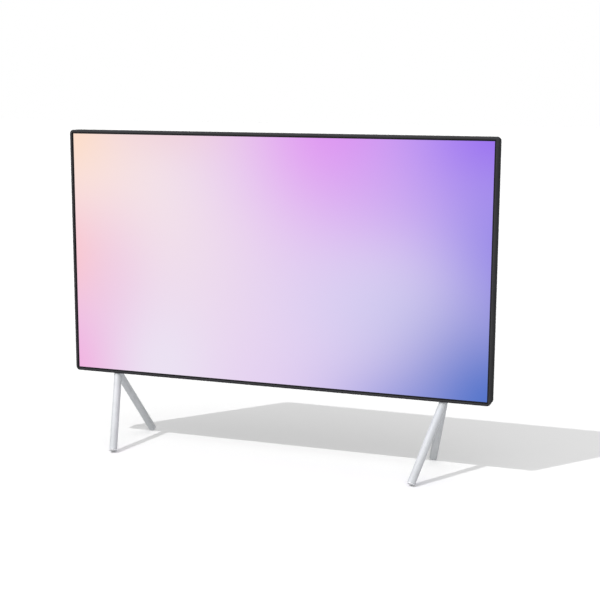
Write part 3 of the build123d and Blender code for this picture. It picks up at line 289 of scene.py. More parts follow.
clear_selection()
bpy.ops.mesh.primitive_plane_add(size=1, location=(0, front + nose_depth, middle_z),
                                 rotation=(math.pi / 2, 0, 0))
bpy.context.object.scale = (right - left, top - under, 1)
ring = new_piece("frame_ring")
open_up(ring)
bpy.ops.mesh.select_all(action="SELECT")
bpy.ops.mesh.bevel(offset=corner_radius, segments=corner_steps, affect="VERTICES")
bpy.ops.mesh.select_all(action="SELECT")
bpy.ops.mesh.inset(thickness=nose_width, depth=nose_depth, use_even_offset=True)
bpy.ops.mesh.select_mode(type="EDGE")
bpy.ops.mesh.select_all(action="DESELECT")
bpy.ops.mesh.select_non_manifold()
bpy.ops.mesh.extrude_region_move(
    TRANSFORM_OT_translate={"value": (0, back - rear_slope - front - nose_depth, 0)})
bpy.ops.mesh.edge_face_add()
bpy.ops.mesh.select_all(action="SELECT")
bpy.ops.mesh.normals_make_consistent(inside=False)
bpy.ops.mesh.select_mode(type="FACE")
pick_faces(ring, lambda middle, normal: normal.y > facing)
bpy.ops.mesh.inset(thickness=rear_slope, depth=rear_slope, use_even_offset=True)
close_up()


def inside(inset, near, far, rounding=0.0):
    """A tool as large as the frame drawn in by an inset, between two depths."""
    return box_tool((left + inset, near, under + inset), (right - inset, far, top - inset), rounding)


cover_face = back - cover_thickness
hollow_radius = corner_radius - rail_wall
beyond = 0.01  # how far a tool reaches past what it opens
cut_away(ring, inside(lip_width, front - beyond, front + beyond))
cut_away(ring, inside(rail_wall, front + lip_thickness, cover_face - ledge_thickness, hollow_radius))
cut_away(ring, inside(ledge_width, front + beyond, back + beyond))
cut_away(ring, inside(rail_wall, cover_face, back + beyond, hollow_radius))
fitting_gap = 0.0003
window_lip, bracket_depth = 0.0015, 0.028
slot_below, slot_above = 0.002, 0.003
for fitting in ("left_foot_bracket", "right_foot_bracket", "sensor_window"):
    low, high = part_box(fitting)
    if fitting == "sensor_window":
        low = low + Vector((window_lip, window_lip, 0))
        high = high - Vector((window_lip, window_lip, 0))
    else:
        low = Vector((low.x, front + (back - front - bracket_depth) / 2, low.z))
        high = Vector((high.x, front + (back - front + bracket_depth) / 2, high.z))
    cut_away(ring, box_tool((low.x - fitting_gap, low.y - fitting_gap, under - slot_below),
                            (high.x + fitting_gap, high.y + fitting_gap, under + slot_above)))

# which way the two cuts at a rail's ends look, across and upwards
mitres = {"top": ((1, -1), (-1, -1)), "bottom": ((1, 1), (-1, 1)),
          "left": ((1, 1), (1, -1)), "right": ((-1, 1), (-1, -1))}
for side, planes in mitres.items():
    rail = copy_of(ring, f"{side}_rail")
    open_up(rail)
    for across, upwards in planes:
        corner_x = right if (across > 0) == (side in ("top", "bottom")) else left
        corner_z = top if (upwards > 0) == (side in ("left", "right")) else under
        bpy.ops.mesh.select_all(action="SELECT")
        bpy.ops.mesh.bisect(plane_co=(corner_x, 0, corner_z), plane_no=(across, 0, upwards),
                            use_fill=True, clear_outer=True, threshold=hairline)
    close_up()
    face_outwards(rail)
    soften(rail, rail_softening)
    face_outwards(rail)
    mount(rail, "television", charcoal, "charcoal_frame", f"frame_{side}_rail")
bpy.data.objects.remove(ring)


# Corner keys and gasket
# Pressed zinc-coated steel angles that join the rails inside the corners, and black foam strips on the
# back of the lip that keep the glass from touching metal.

def dress(material, *names):
    """Gives CAD nodes their finish."""
    for name in names:
        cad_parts[name].material_slots[0].material = material


zinc_steel = finish("zinc_coated_steel", (0.36, 0.37, 0.38), (0.48, 0.49, 0.50),
                    grains=160, clouds=14, roughness=0.38, spread=0.20, relief=0.00002, metallic=0.9)
black_foam = finish("black_foam", (0.010, 0.010, 0.010), (0.022, 0.022, 0.022),
                    grains=2200, clouds=30, roughness=0.95, spread=0.05, relief=0.00015)
dress(zinc_steel, "corner_keys")
dress(black_foam, "panel_gasket")


# Picture panel
# Two bonded sheets of display glass with a matt front. A narrow black border runs round the lit picture,
# which is a soft wash of colour from peach on the left to blue at the lower right.

def glow_group():
    """One soft patch of colour laid over what is under it."""
    group = bpy.data.node_groups.new("soft_glow", "ShaderNodeTree")
    for label, kind in (("Under", "NodeSocketColor"), ("Glow", "NodeSocketColor"),
                        ("Point", "NodeSocketVector"), ("Place", "NodeSocketVector"),
                        ("Reach", "NodeSocketVector"), ("Strength", "NodeSocketFloat")):
        group.interface.new_socket(label, in_out="INPUT", socket_type=kind)
    group.interface.new_socket("Color", in_out="OUTPUT", socket_type="NodeSocketColor")
    add, join = group.nodes.new, group.links.new
    given, result = add("NodeGroupInput"), add("NodeGroupOutput")
    away, scaled, length = (add("ShaderNodeVectorMath") for _ in range(3))
    away.operation, scaled.operation, length.operation = "SUBTRACT", "DIVIDE", "DOT_PRODUCT"
    join(given.outputs["Point"], away.inputs[0])
    join(given.outputs["Place"], away.inputs[1])
    join(away.outputs[0], scaled.inputs[0])
    join(given.outputs["Reach"], scaled.inputs[1])
    join(scaled.outputs[0], length.inputs[0])
    join(scaled.outputs[0], length.inputs[1])
    fall, fade, weight = (add("ShaderNodeMath") for _ in range(3))
    fall.operation, fade.operation, weight.operation = "MULTIPLY", "EXPONENT", "MULTIPLY"
    fall.inputs[1].default_value = -1
    join(length.outputs["Value"], fall.inputs[0])
    join(fall.outputs[0], fade.inputs[0])
    join(fade.outputs[0], weight.inputs[0])
    join(given.outputs["Strength"], weight.inputs[1])
    mix = add("ShaderNodeMix")
    mix.data_type = "RGBA"
    join(weight.outputs[0], mix.inputs["Factor"])
    join(given.outputs["Under"], mix.inputs["A"])
    join(given.outputs["Glow"], mix.inputs["B"])
    join(mix.outputs["Result"], result.inputs["Color"])
    return group


picture_width, picture_height = 1.2096, 0.6804
half_share = 0.5
picture = bpy.data.materials.new("lit_picture")
picture.use_nodes = True
add, join = picture.node_tree.nodes.new, picture.node_tree.links.new
glass = picture.node_tree.nodes["Principled BSDF"]
place, share = add("ShaderNodeTexCoord"), add("ShaderNodeMapping")
share.inputs["Scale"].default_value = (1 / picture_width, 0, -1 / picture_height)
share.inputs["Location"].default_value = (half_share, 0, half_share + middle_z / picture_height)
join(place.outputs["Object"], share.inputs["Vector"])

lilac_ground = (0.76, 0.62, 0.87)
glows = [  # name, colour, place across and down the picture, reach across and down, strength
    ("pale_left", (0.87, 0.73, 0.80), (0.22, 0.42), (0.30, 0.60), 0.75),
    ("cream", (0.92, 0.80, 0.77), (0.05, 0.18), (0.22, 0.30), 0.80),
    ("peach", (1.00, 0.72, 0.50), (-0.04, -0.06), (0.16, 0.28), 0.85),
    ("top_blush", (0.88, 0.58, 0.54), (0.26, -0.04), (0.20, 0.14), 0.38),
    ("salmon", (0.96, 0.55, 0.56), (-0.05, 0.52), (0.14, 0.26), 0.85),
    ("rose", (0.88, 0.38, 0.70), (-0.03, 1.02), (0.15, 0.32), 0.85),
    ("left_blush", (0.80, 0.45, 0.72), (0.11, 0.66), (0.10, 0.42), 0.28),
    ("pale_foot", (0.82, 0.77, 0.88), (0.22, 0.98), (0.13, 0.30), 0.75),
    ("orchid", (0.76, 0.27, 0.86), (0.64, -0.08), (0.21, 0.42), 0.86),
    ("violet", (0.27, 0.075, 0.88), (1.04, -0.04), (0.265, 0.36), 0.93),
    ("lavender", (0.55, 0.30, 0.86), (0.80, 0.28), (0.20, 0.24), 0.32),
    ("periwinkle", (0.30, 0.22, 0.80), (1.04, 0.42), (0.176, 0.42), 0.97),
    ("haze", (0.64, 0.60, 0.86), (0.77, 0.67), (0.22, 0.27), 0.77),
    ("dusk", (0.27, 0.30, 0.72), (0.84, 1.10), (0.22, 0.22), 0.75),
    ("blue", (0.05, 0.145, 0.56), (1.02, 1.04), (0.20, 0.42), 0.97),
]
soft_glow = glow_group()
under_it = None
for name, colour, centre, reach, strength in glows:
    patch = add("ShaderNodeGroup")
    patch.node_tree = soft_glow
    patch.label = name
    patch.inputs["Under"].default_value = (*lilac_ground, 1)
    patch.inputs["Glow"].default_value = (*colour, 1)
    patch.inputs["Place"].default_value = (centre[0], 0, centre[1])
    patch.inputs["Reach"].default_value = (reach[0], 1, reach[1])
    patch.inputs["Strength"].default_value = strength
    join(share.outputs["Vector"], patch.inputs["Point"])
    if under_it:
        join(under_it.outputs["Color"], patch.inputs["Under"])
    under_it = patch
centred, folded, sides, further, border = (add("ShaderNodeVectorMath"), add("ShaderNodeVectorMath"),
                                           add("ShaderNodeSeparateXYZ"), add("ShaderNodeMath"),
                                           add("ShaderNodeMath"))
centred.operation, folded.operation = "SUBTRACT", "ABSOLUTE"
centred.inputs[1].default_value = (half_share, 0, half_share)
further.operation, border.operation = "MAXIMUM", "LESS_THAN"
border.inputs[1].default_value = half_share
join(share.outputs["Vector"], centred.inputs[0])
join(centred.outputs[0], folded.inputs[0])
join(folded.outputs[0], sides.inputs[0])
join(sides.outputs["X"], further.inputs[0])
join(sides.outputs["Z"], further.inputs[1])
join(further.outputs[0], border.inputs[0])
lit = add("ShaderNodeMix")
lit.data_type = "RGBA"
lit.inputs["A"].default_value = (0, 0, 0, 1)
join(border.outputs[0], lit.inputs["Factor"])
join(under_it.outputs["Color"], lit.inputs["B"])
join(lit.outputs["Result"], glass.inputs["Emission Color"])
matt_grains, matt_relief = 2500, 0.000005
matt, haze_bump = add("ShaderNodeTexNoise"), add("ShaderNodeBump")
matt.inputs["Scale"].default_value = matt_grains
haze_bump.inputs["Distance"].default_value = matt_relief
join(place.outputs["Object"], matt.inputs["Vector"])
join(matt.outputs["Fac"], haze_bump.inputs["Height"])
join(haze_bump.outputs["Normal"], glass.inputs["Normal"])
unlit_glass, glass_roughness, glass_shine = (0.006, 0.006, 0.007, 1), 0.28, 0.2
glass.inputs["Emission Strength"].default_value = 1.0
glass.inputs["Base Color"].default_value = unlit_glass
glass.inputs["Roughness"].default_value = glass_roughness
glass.inputs["Specular IOR Level"].default_value = glass_shine
dress(picture, "lcd_cell")


# Middle frame and light stack
# A black moulded ring carries the glass. Behind it lie a prism film, a diffuser, a clear acrylic plate lit
# along its lower edge by a bar of small light sources, and a white reflecting film.

black_moulding = finish("black_moulding", (0.012, 0.012, 0.013), (0.020, 0.020, 0.022),
                        grains=1800, clouds=20, roughness=0.55, spread=0.15, relief=0.00004)
prism_film = finish("prism_film", (0.78, 0.79, 0.80), (0.86, 0.87, 0.88),
                    grains=900, clouds=8, roughness=0.22, spread=0.10, relief=0.00002,
                    stretch=(0.02, 1, 6))
diffuser_film = finish("diffuser_film", (0.82, 0.82, 0.82), (0.88, 0.88, 0.88),
                       grains=1500, clouds=8, roughness=0.45, spread=0.10, relief=0.00001)
clear_acrylic = finish("clear_acrylic", (0.74, 0.80, 0.80), (0.82, 0.87, 0.87),
                       grains=700, clouds=6, roughness=0.08, spread=0.05, relief=0.00001, coat=0.4)
white_film = finish("white_film", (0.86, 0.86, 0.86), (0.91, 0.91, 0.91),
                    grains=1200, clouds=7, roughness=0.40, spread=0.12, relief=0.00001)
white_board = finish("white_board", (0.80, 0.80, 0.77), (0.86, 0.86, 0.84),
                     grains=900, clouds=18, roughness=0.35, spread=0.10, relief=0.00002)
phosphor = finish("phosphor_resin", (0.82, 0.62, 0.09), (0.90, 0.74, 0.20),
                  grains=3000, clouds=90, roughness=0.22, spread=0.10, relief=0.00002)
rolled_aluminium = finish("rolled_aluminium", (0.62, 0.63, 0.64), (0.74, 0.75, 0.76),
                          grains=1200, clouds=16, roughness=0.32, spread=0.15, relief=0.00002,
                          metallic=1.0, stretch=(0.06, 1, 1))
dress(black_moulding, "middle_frame")
dress(prism_film, "prism_sheet")
dress(diffuser_film, "diffuser_sheet")
dress(clear_acrylic, "light_guide")
dress(white_film, "reflector_sheet")
dress(white_board, "led_bar")
dress(phosphor, "led_packages")
dress(rolled_aluminium, "led_heat_sink")


# Chassis and wall-mount pillars
# A pressed sheet of zinc-coated steel with stamped pads closes the panel's back. Four nickel-plated pillars
# with threaded bores are riveted to it and reach through the cover.

nickel = finish("nickel_plate", (0.58, 0.56, 0.52), (0.68, 0.66, 0.62),
                grains=2400, clouds=60, roughness=0.26, spread=0.12, relief=0.00001, metallic=1.0)
thread_pitch, thread_relief = 0.001, 0.0003
bands_at_scale_one = 20  # a banded pattern has this many bands in 2 pi metres
thread = nickel.copy()
thread.name = "threaded_nickel"
add, join = thread.node_tree.nodes.new, thread.node_tree.links.new
place, turns, groove = add("ShaderNodeTexCoord"), add("ShaderNodeTexWave"), add("ShaderNodeBump")
turns.wave_type, turns.bands_direction = "BANDS", "Y"
turns.inputs["Scale"].default_value = 2 * math.pi / (bands_at_scale_one * thread_pitch)
groove.inputs["Distance"].default_value = thread_relief
join(place.outputs["Object"], turns.inputs["Vector"])
join(turns.outputs["Fac"], groove.inputs["Height"])
join(groove.outputs["Normal"], thread.node_tree.nodes["Principled BSDF"].inputs["Normal"])
dress(zinc_steel, "rear_chassis")
dress(thread, "wall_mount_inserts")


# Circuit boards
# Glass laminate with a green solder mask over copper tracks, brown paper laminate for the mains side, all
# screwed to plated standoffs. Black resin chips and an extruded aluminium heat sink sit on them.

track_spacing, mask_relief = 0.09, 0.00003
track_edge_from, track_edge_to = 0.03, 0.05  # shares of a cell


def track_group():
    """Fine square-cornered tracks under a coloured mask."""
    group = bpy.data.node_groups.new("tracks", "ShaderNodeTree")
    for label, kind in (("Mask", "NodeSocketColor"), ("Track", "NodeSocketColor"),
                        ("Tracks Per Metre", "NodeSocketFloat")):
        group.interface.new_socket(label, in_out="INPUT", socket_type=kind)
    group.interface.new_socket("Color", in_out="OUTPUT", socket_type="NodeSocketColor")
    group.interface.new_socket("Height", in_out="OUTPUT", socket_type="NodeSocketFloat")
    add, join = group.nodes.new, group.links.new
    given, result, place = add("NodeGroupInput"), add("NodeGroupOutput"), add("ShaderNodeTexCoord")
    cells = add("ShaderNodeTexVoronoi")
    cells.distance = "CHEBYCHEV"
    cells.feature = "F1"
    lines = add("ShaderNodeMath")
    lines.operation = "PINGPONG"
    lines.inputs[1].default_value = track_spacing
    width = add("ShaderNodeMapRange")
    width.inputs["From Min"].default_value = track_edge_from
    width.inputs["From Max"].default_value = track_edge_to
    tone = add("ShaderNodeMix")
    tone.data_type = "RGBA"
    join(place.outputs["Object"], cells.inputs["Vector"])
    join(given.outputs["Tracks Per Metre"], cells.inputs["Scale"])
    join(cells.outputs["Distance"], lines.inputs[0])
    join(lines.outputs[0], width.inputs["Value"])
    join(width.outputs["Result"], tone.inputs["Factor"])
    join(given.outputs["Mask"], tone.inputs["A"])
    join(given.outputs["Track"], tone.inputs["B"])
    join(tone.outputs["Result"], result.inputs["Color"])
    join(width.outputs["Result"], result.inputs["Height"])
    return group


tracks = track_group()


def board_finish(name, mask, track, tracks_per_metre, roughness):
    """A printed board's lacquer with its tracks showing through."""
    material = bpy.data.materials.new(name)
    material.use_nodes = True
    add, join = material.node_tree.nodes.new, material.node_tree.links.new
    shader = material.node_tree.nodes["Principled BSDF"]
    pattern, bump = add("ShaderNodeGroup"), add("ShaderNodeBump")
    pattern.node_tree = tracks
    pattern.inputs["Mask"].default_value = (*mask, 1)
    pattern.inputs["Track"].default_value = (*track, 1)
    pattern.inputs["Tracks Per Metre"].default_value = tracks_per_metre
    bump.inputs["Distance"].default_value = mask_relief
    join(pattern.outputs["Color"], shader.inputs["Base Color"])
    join(pattern.outputs["Height"], bump.inputs["Height"])
    join(bump.outputs["Normal"], shader.inputs["Normal"])
    shader.inputs["Roughness"].default_value = roughness
    return material


green_board = board_finish("green_board", mask=(0.006, 0.085, 0.025), track=(0.012, 0.15, 0.05),
                           tracks_per_metre=70, roughness=0.30)
tan_board = board_finish("tan_board", mask=(0.30, 0.19, 0.08), track=(0.42, 0.30, 0.13),
                         tracks_per_metre=45, roughness=0.45)
chip_resin = finish("chip_resin", (0.012, 0.012, 0.013), (0.022, 0.022, 0.024),
                    grains=3500, clouds=80, roughness=0.50, spread=0.10, relief=0.00003)
amber_flex = finish("amber_flex", (0.34, 0.11, 0.010), (0.46, 0.17, 0.018),
                    grains=900, clouds=30, roughness=0.25, spread=0.10, relief=0.00001,
                    stretch=(4, 0.1, 0.1))
white_ribbon = finish("white_ribbon", (0.55, 0.55, 0.54), (0.84, 0.84, 0.83),
                      grains=1100, clouds=20, roughness=0.35, spread=0.05, relief=0.00004,
                      stretch=(1, 0.03, 0.03))
dress(nickel, "board_standoffs", "board_screws")
dress(green_board, "main_board", "timing_board", "source_boards", "wifi_module", "sensor_board",
      "key_board")
dress(tan_board, "power_board")
dress(chip_resin, "main_board_chips")
dress(rolled_aluminium, "processor_heat_sink", "power_heat_sinks")
dress(amber_flex, "panel_flexes")
dress(white_ribbon, "ribbon_cables")


# Power parts
# Taped ferrite transformers, sleeved electrolytic capacitors laid flat, aluminium heat sinks and a loom
# of four insulated wires to the main board.

ferrite = finish("taped_ferrite", (0.030, 0.030, 0.033), (0.055, 0.055, 0.058),
                 grains=1500, clouds=60, roughness=0.60, spread=0.20, relief=0.00006)
can_sleeve = finish("capacitor_sleeve", (0.008, 0.012, 0.045), (0.014, 0.020, 0.070),
                    grains=900, clouds=40, roughness=0.25, spread=0.10, relief=0.00001, coat=0.3)
wire_sleeve = finish("wire_sleeve", (0.48, 0.47, 0.44), (0.58, 0.57, 0.54),
                     grains=700, clouds=50, roughness=0.45, spread=0.10, relief=0.00001)
dress(ferrite, "power_transformers")
dress(can_sleeve, "power_capacitors")
dress(wire_sleeve, "power_leads")


# Sockets
# Drawn nickel shells for picture and data plugs, black moulded blocks for network, optical and mains,
# all facing down into the recesses of the cover.

dress(nickel, "hdmi_sockets", "usb_sockets", "aerial_socket")
dress(black_moulding, "network_socket", "optical_socket", "ac_inlet")


# Loudspeakers
# Two closed plastic boxes on rubber grommets, each with a steel basket and a paper cone that faces back
# through a grille in the cover.

speaker_paper = finish("speaker_paper", (0.018, 0.018, 0.018), (0.040, 0.040, 0.040),
                       grains=1200, clouds=60, roughness=0.85, spread=0.10, relief=0.00010)
grey_rubber = finish("grey_rubber", (0.12, 0.12, 0.12), (0.16, 0.16, 0.16),
                     grains=1600, clouds=40, roughness=0.75, spread=0.15, relief=0.00005)
dress(black_moulding, "left_speaker_box", "right_speaker_box")
dress(zinc_steel, "speaker_drivers")
cone_sides, edge_recess, paper_thickness = 64, 0.0009, 0.0005
paper_smooth_below = math.radians(60)
millimetres = 1000
cone_steps = [  # inwards from the edge and back or forth, in millimetres
    (0.6, 0.0), (0.5, 0.5), (0.7, 0.2), (0.7, -0.2), (0.6, -0.5), (0.6, 0.0), (11.0, -3.6), (0.3, 0.2),
    (2.2, 1.1), (2.6, 0.5), (1.8, 0.1)]
for node in ("left_speaker_cone", "right_speaker_cone"):
    low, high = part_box(node)
    clear_selection()
    bpy.ops.mesh.primitive_circle_add(vertices=cone_sides, radius=(high.x - low.x) / 2, fill_type="NGON",
                                      location=((low.x + high.x) / 2, high.y - edge_recess,
                                                (low.z + high.z) / 2),
                                      rotation=(-math.pi / 2, 0, 0))
    cone = new_piece(f"{node}_paper")
    open_up(cone)
    bpy.ops.mesh.select_all(action="SELECT")
    for inwards, step in cone_steps:
        bpy.ops.mesh.inset(thickness=inwards / millimetres, depth=step / millimetres)
    close_up()
    sheet = cone.modifiers.new("sheet", "SOLIDIFY")
    sheet.thickness = paper_thickness
    take(cone)
    bpy.ops.object.modifier_apply(modifier=sheet.name)
    bpy.ops.object.shade_smooth_by_angle(angle=paper_smooth_below)
    mount(cone, node, speaker_paper, "speaker_paper", node)
dress(grey_rubber, "speaker_grommets")


# Keys and sensor
# Three polished round caps at the back, and a dark smoked window for the sensor in the underside.

key_gloss = finish("key_gloss", (0.020, 0.020, 0.022), (0.028, 0.028, 0.030),
                   grains=900, clouds=80, roughness=0.16, spread=0.08, relief=0.00001, coat=0.3)
cap_radius, cap_flange, cap_dish, cap_rim = 0.0045, 0.0012, 0.00025, 0.0007
cap_sides, cap_softening = 48, 0.0002
mark_length, mark_width, mark_depth = 0.0034, 0.0005, 0.0006
for node, marks in (("power_key", ()), ("volume_up_key", ((1, 0), (0, 1))),
                    ("volume_down_key", ((1, 0),))):
    low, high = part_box(node)
    middle = (low + high) / 2
    clear_selection()
    bpy.ops.mesh.primitive_cylinder_add(vertices=cap_sides, radius=cap_radius,
                                        depth=high.y - low.y - cap_flange,
                                        location=(middle.x, (low.y + cap_flange + high.y) / 2, middle.z),
                                        rotation=(math.pi / 2, 0, 0))
    cap = new_piece(f"{node}_cap")
    open_up(cap)
    pick_faces(cap, lambda middle, normal: normal.y > facing)
    bpy.ops.mesh.inset(thickness=cap_rim)
    bpy.ops.mesh.inset(thickness=cap_rim, depth=-cap_dish)
    pick_faces(cap, lambda middle, normal: normal.y < -facing)
    bpy.ops.mesh.extrude_region_move(TRANSFORM_OT_translate={"value": (0, -cap_flange / 2, 0)})
    bpy.ops.transform.resize(value=[(high.x - low.x) / (2 * cap_radius)] * 3, center_override=(
        middle.x, low.y + cap_flange / 2, middle.z))
    bpy.ops.mesh.extrude_region_move(TRANSFORM_OT_translate={"value": (0, -cap_flange / 2, 0)})
    close_up()
    soften(cap, cap_softening)
    for across, up in marks:
        half = Vector((max(across * mark_length, mark_width), 0, max(up * mark_length, mark_width))) / 2
        cut_away(cap, box_tool((middle.x - half.x, high.y - mark_depth, middle.z - half.z),
                               (middle.x + half.x, high.y + mark_depth, middle.z + half.z)))
    mount(cap, node, key_gloss, "key_plastic", node)
smoked_window = finish("smoked_window", (0.010, 0.004, 0.004), (0.016, 0.007, 0.007),
                       grains=900, clouds=60, roughness=0.10, spread=0.05, relief=0.00001, coat=0.5)
dress(smoked_window, "sensor_window")


# Rear cover
# One black moulding with a fine spark-eroded grain, held by small black screws round its edge, each sunk
# in a counterbore.

cover_grain = finish("cover_grain", (0.026, 0.026, 0.028), (0.040, 0.040, 0.042),
                     grains=1500, clouds=7, roughness=0.52, spread=0.12, relief=0.00008)
black_steel = finish("black_steel", (0.014, 0.014, 0.015), (0.026, 0.026, 0.027),
                     grains=2600, clouds=90, roughness=0.35, spread=0.15, relief=0.00002, metallic=0.4)
cover_softening, cover_sharp_above = 0.0004, math.radians(40)
flat_within = math.radians(0.5)
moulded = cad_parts["rear_cover"]
cover = bpy.data.objects.new("cover_moulding", moulded.data.copy())
cover.data.transform(moulded.matrix_world)
bpy.context.scene.collection.objects.link(cover)
face_outwards(cover)
open_up(cover)
bpy.ops.mesh.select_all(action="SELECT")
bpy.ops.mesh.dissolve_limited(angle_limit=flat_within)
close_up()
edge = cover.modifiers.new("edge", "BEVEL")
edge.width, edge.segments = cover_softening, soft_edge_steps
edge.limit_method, edge.angle_limit = "ANGLE", cover_sharp_above
bpy.ops.object.modifier_apply(modifier=edge.name)
bpy.ops.object.shade_flat()
mount(cover, "television", cover_grain, "cover_plastic", "rear_cover")


screw_sides, dome_steps = 32, 4
dome_share, recess_floor_share = 0.45, 0.45  # of the head's height
arm_share, blade_share = 0.55, 0.13  # of the head's radius
point_share = 0.4  # of the shank's radius
screw_smooth_below = math.radians(35)


def screw_of(name, head_radius, head, shank_radius, length):
    """A pan-head screw with a cross recess, its seat at the origin and its head to the back."""
    clear_selection()
    bpy.ops.mesh.primitive_cylinder_add(vertices=screw_sides, radius=head_radius, depth=head,
                                        location=(0, head / 2, 0), rotation=(math.pi / 2, 0, 0))
    screw = new_piece(name)
    open_up(screw)
    pick_faces(screw, lambda middle, normal: normal.y > facing)
    bpy.ops.mesh.bevel(offset=head * dome_share, segments=dome_steps)
    pick_faces(screw, lambda middle, normal: normal.y < -facing)
    bpy.ops.mesh.inset(thickness=head_radius - shank_radius)
    bpy.ops.mesh.extrude_region_move(TRANSFORM_OT_translate={"value": (0, -length, 0)})
    bpy.ops.mesh.bevel(offset=shank_radius * point_share, segments=1)
    close_up()
    arm, blade = head_radius * arm_share, head_radius * blade_share
    for across, up in ((arm, blade), (blade, arm)):
        cut_away(screw, box_tool((-across, head * recess_floor_share, -up), (across, 2 * head, up)))
    bpy.ops.object.shade_smooth_by_angle(angle=screw_smooth_below)
    return screw


def place_copies(master, places, material, slot, node):
    """Mounts a copy of the master at each place and throws the master away."""
    for number, spot in enumerate(places, 1):
        piece = copy_of(master, f"{master.name}_{number}")
        piece.data.transform(Matrix.Translation(spot))
        mount(piece, "television", material, slot, node)
    bpy.data.objects.remove(master)


cover_screw_radius, cover_screw_head = 0.0028, 0.0011
cover_screw_shank, cover_screw_length = 0.00145, 0.005
cover_screw_inset = 0.0054
shares_across, shares_up = (-0.93, -0.5, 0, 0.5, 0.93), (-0.55, 0, 0.55)
cover_screw = screw_of("cover_screw", cover_screw_radius, cover_screw_head, cover_screw_shank,
                       cover_screw_length)
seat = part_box("cover_screws")[1].y - cover_screw_head
reach_x, reach_z = right - cover_screw_inset, (top - under) / 2 - cover_screw_inset
spots = [(part * reach_x, seat, middle_z + end * reach_z) for part in shares_across for end in (-1, 1)]
spots += [(end * reach_x, seat, middle_z + part * reach_z) for part in shares_up for end in (-1, 1)]
place_copies(cover_screw, spots, black_steel, "black_steel", "cover_screws")


# Feet
# Each foot is two round steel tubes, mitred against each other and welded under a flat bracket, in a satin
# silver lacquer. Grey plugs close the tube ends, and the bracket's tongue is screwed to the chassis.

silver_lacquer = finish("silver_lacquer", (0.71, 0.73, 0.75), (0.82, 0.84, 0.86),
                        grains=700, clouds=30, roughness=0.66, spread=0.16, relief=0.00003, metallic=0.25)
plug_grey = finish("plug_grey", (0.83, 0.84, 0.85), (0.90, 0.91, 0.92),
                   grains=1600, clouds=40, roughness=0.45, spread=0.15, relief=0.00003, metallic=0.5)
tube_radius, tube_wall, tube_sides = 0.011, 0.0015, 64
foot_lean, front_run, rear_run = 0.0535, 0.1419, 0.1172
plug_flange, plug_shank, plug_clearance = 0.0015, 0.014, 0.0001
plug_flat = 0.0008  # how much the floor takes off the rim
bore_depth, rim_softening = 0.020, 0.0003
bar_start = -4 * tube_radius  # above the set's underside, where the cuts take it off
square_on = 0.99  # only an end square to the leg passes
bracket_low, bracket_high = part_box("right_foot_bracket")
apex = Vector(((bracket_low.x + bracket_high.x) / 2, (front + back) / 2, under))


def leg_axis(run):
    """The way down a right-hand leg whose end lies this far along Y from the apex."""
    return Vector((-foot_lean, run, -apex.z)).normalized()


def bar_down(axis, near, far):
    """A round bar between two distances from the apex down a leg's axis."""
    clear_selection()
    bpy.ops.mesh.primitive_cylinder_add(vertices=tube_sides, radius=tube_radius, depth=far - near,
                                        location=apex + axis * (near + far) / 2,
                                        rotation=axis.to_track_quat("Z", "Y").to_euler())
    return new_piece("bar")


def on_both_sides(piece, name, material, slot, node):
    """Mounts a right-hand piece and its mirror image on the left."""
    other = copy_of(piece, f"left_{name}")
    piece.name = piece.data.name = f"right_{name}"
    take(other)
    other.scale.x = -1
    bpy.ops.object.transform_apply(location=False, rotation=False, scale=True)
    face_outwards(other)
    for side, shape in (("right", piece), ("left", other)):
        mount(shape, "television", material, slot, node.format(side=side))


for end, run, other_run in (("front", -front_run, rear_run), ("rear", rear_run, -front_run)):
    axis = leg_axis(run)
    rim_drop = tube_radius * math.sqrt(1 - axis.z ** 2)
    reach = (apex.z - rim_drop + plug_flat) / -axis.z
    tube = bar_down(axis, bar_start, reach - plug_flange)
    open_up(tube)
    pick_faces(tube, lambda middle, normal: normal.dot(axis) > square_on)
    bpy.ops.mesh.inset(thickness=tube_wall)
    bpy.ops.mesh.extrude_region_move(TRANSFORM_OT_translate={"value": -axis * bore_depth})
    for slope in (Vector((0, 0, 1)), leg_axis(other_run) - axis):
        bpy.ops.mesh.select_all(action="SELECT")
        bpy.ops.mesh.bisect(plane_co=apex, plane_no=slope, use_fill=True, clear_outer=True,
                            threshold=hairline)
    close_up()
    soften(tube, rim_softening)
    on_both_sides(tube, f"{end}_tube", silver_lacquer, "silver_lacquer", "{side}_" + f"{end}_leg")

    plug = bar_down(axis, reach - plug_flange, reach)
    open_up(plug)
    pick_faces(plug, lambda middle, normal: normal.dot(axis) < -square_on)
    bpy.ops.mesh.inset(thickness=tube_wall + plug_clearance)
    bpy.ops.mesh.extrude_region_move(TRANSFORM_OT_translate={"value": -axis * plug_shank})
    close_up()
    soften(plug, rim_softening)
    open_up(plug)
    bpy.ops.mesh.select_all(action="SELECT")
    bpy.ops.mesh.bisect(plane_co=(0, 0, 0), plane_no=(0, 0, -1), use_fill=True, clear_outer=True,
                        threshold=hairline)
    close_up()
    bpy.ops.object.shade_smooth_by_angle(angle=smooth_below)
    on_both_sides(plug, f"{end}_plug", plug_grey, "grey_rubber", "foot_glides")

foot_screw_head_radius, foot_screw_head = 0.0055, 0.004
foot_screw_shank, foot_screw_length = 0.0030, 0.009
six_sided_flat = math.cos(math.pi / 6)  # the solids' heads have six sides
foot_screw = screw_of("foot_screw", foot_screw_head_radius, foot_screw_head, foot_screw_shank,
                      foot_screw_length)
screws_low, screws_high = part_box("foot_screws")
seat = screws_high.y - foot_screw_head
heights = (screws_low.z + foot_screw_head_radius * six_sided_flat,
           screws_high.z - foot_screw_head_radius * six_sided_flat)
outermost = screws_high.x - foot_screw_head_radius
innermost = 2 * apex.x - outermost
place_copies(foot_screw, [(x, seat, z) for x in (outermost, innermost, -outermost, -innermost)
                          for z in heights], black_steel, "black_steel", "foot_screws")
dress(silver_lacquer, "left_foot_bracket", "right_foot_bracket")


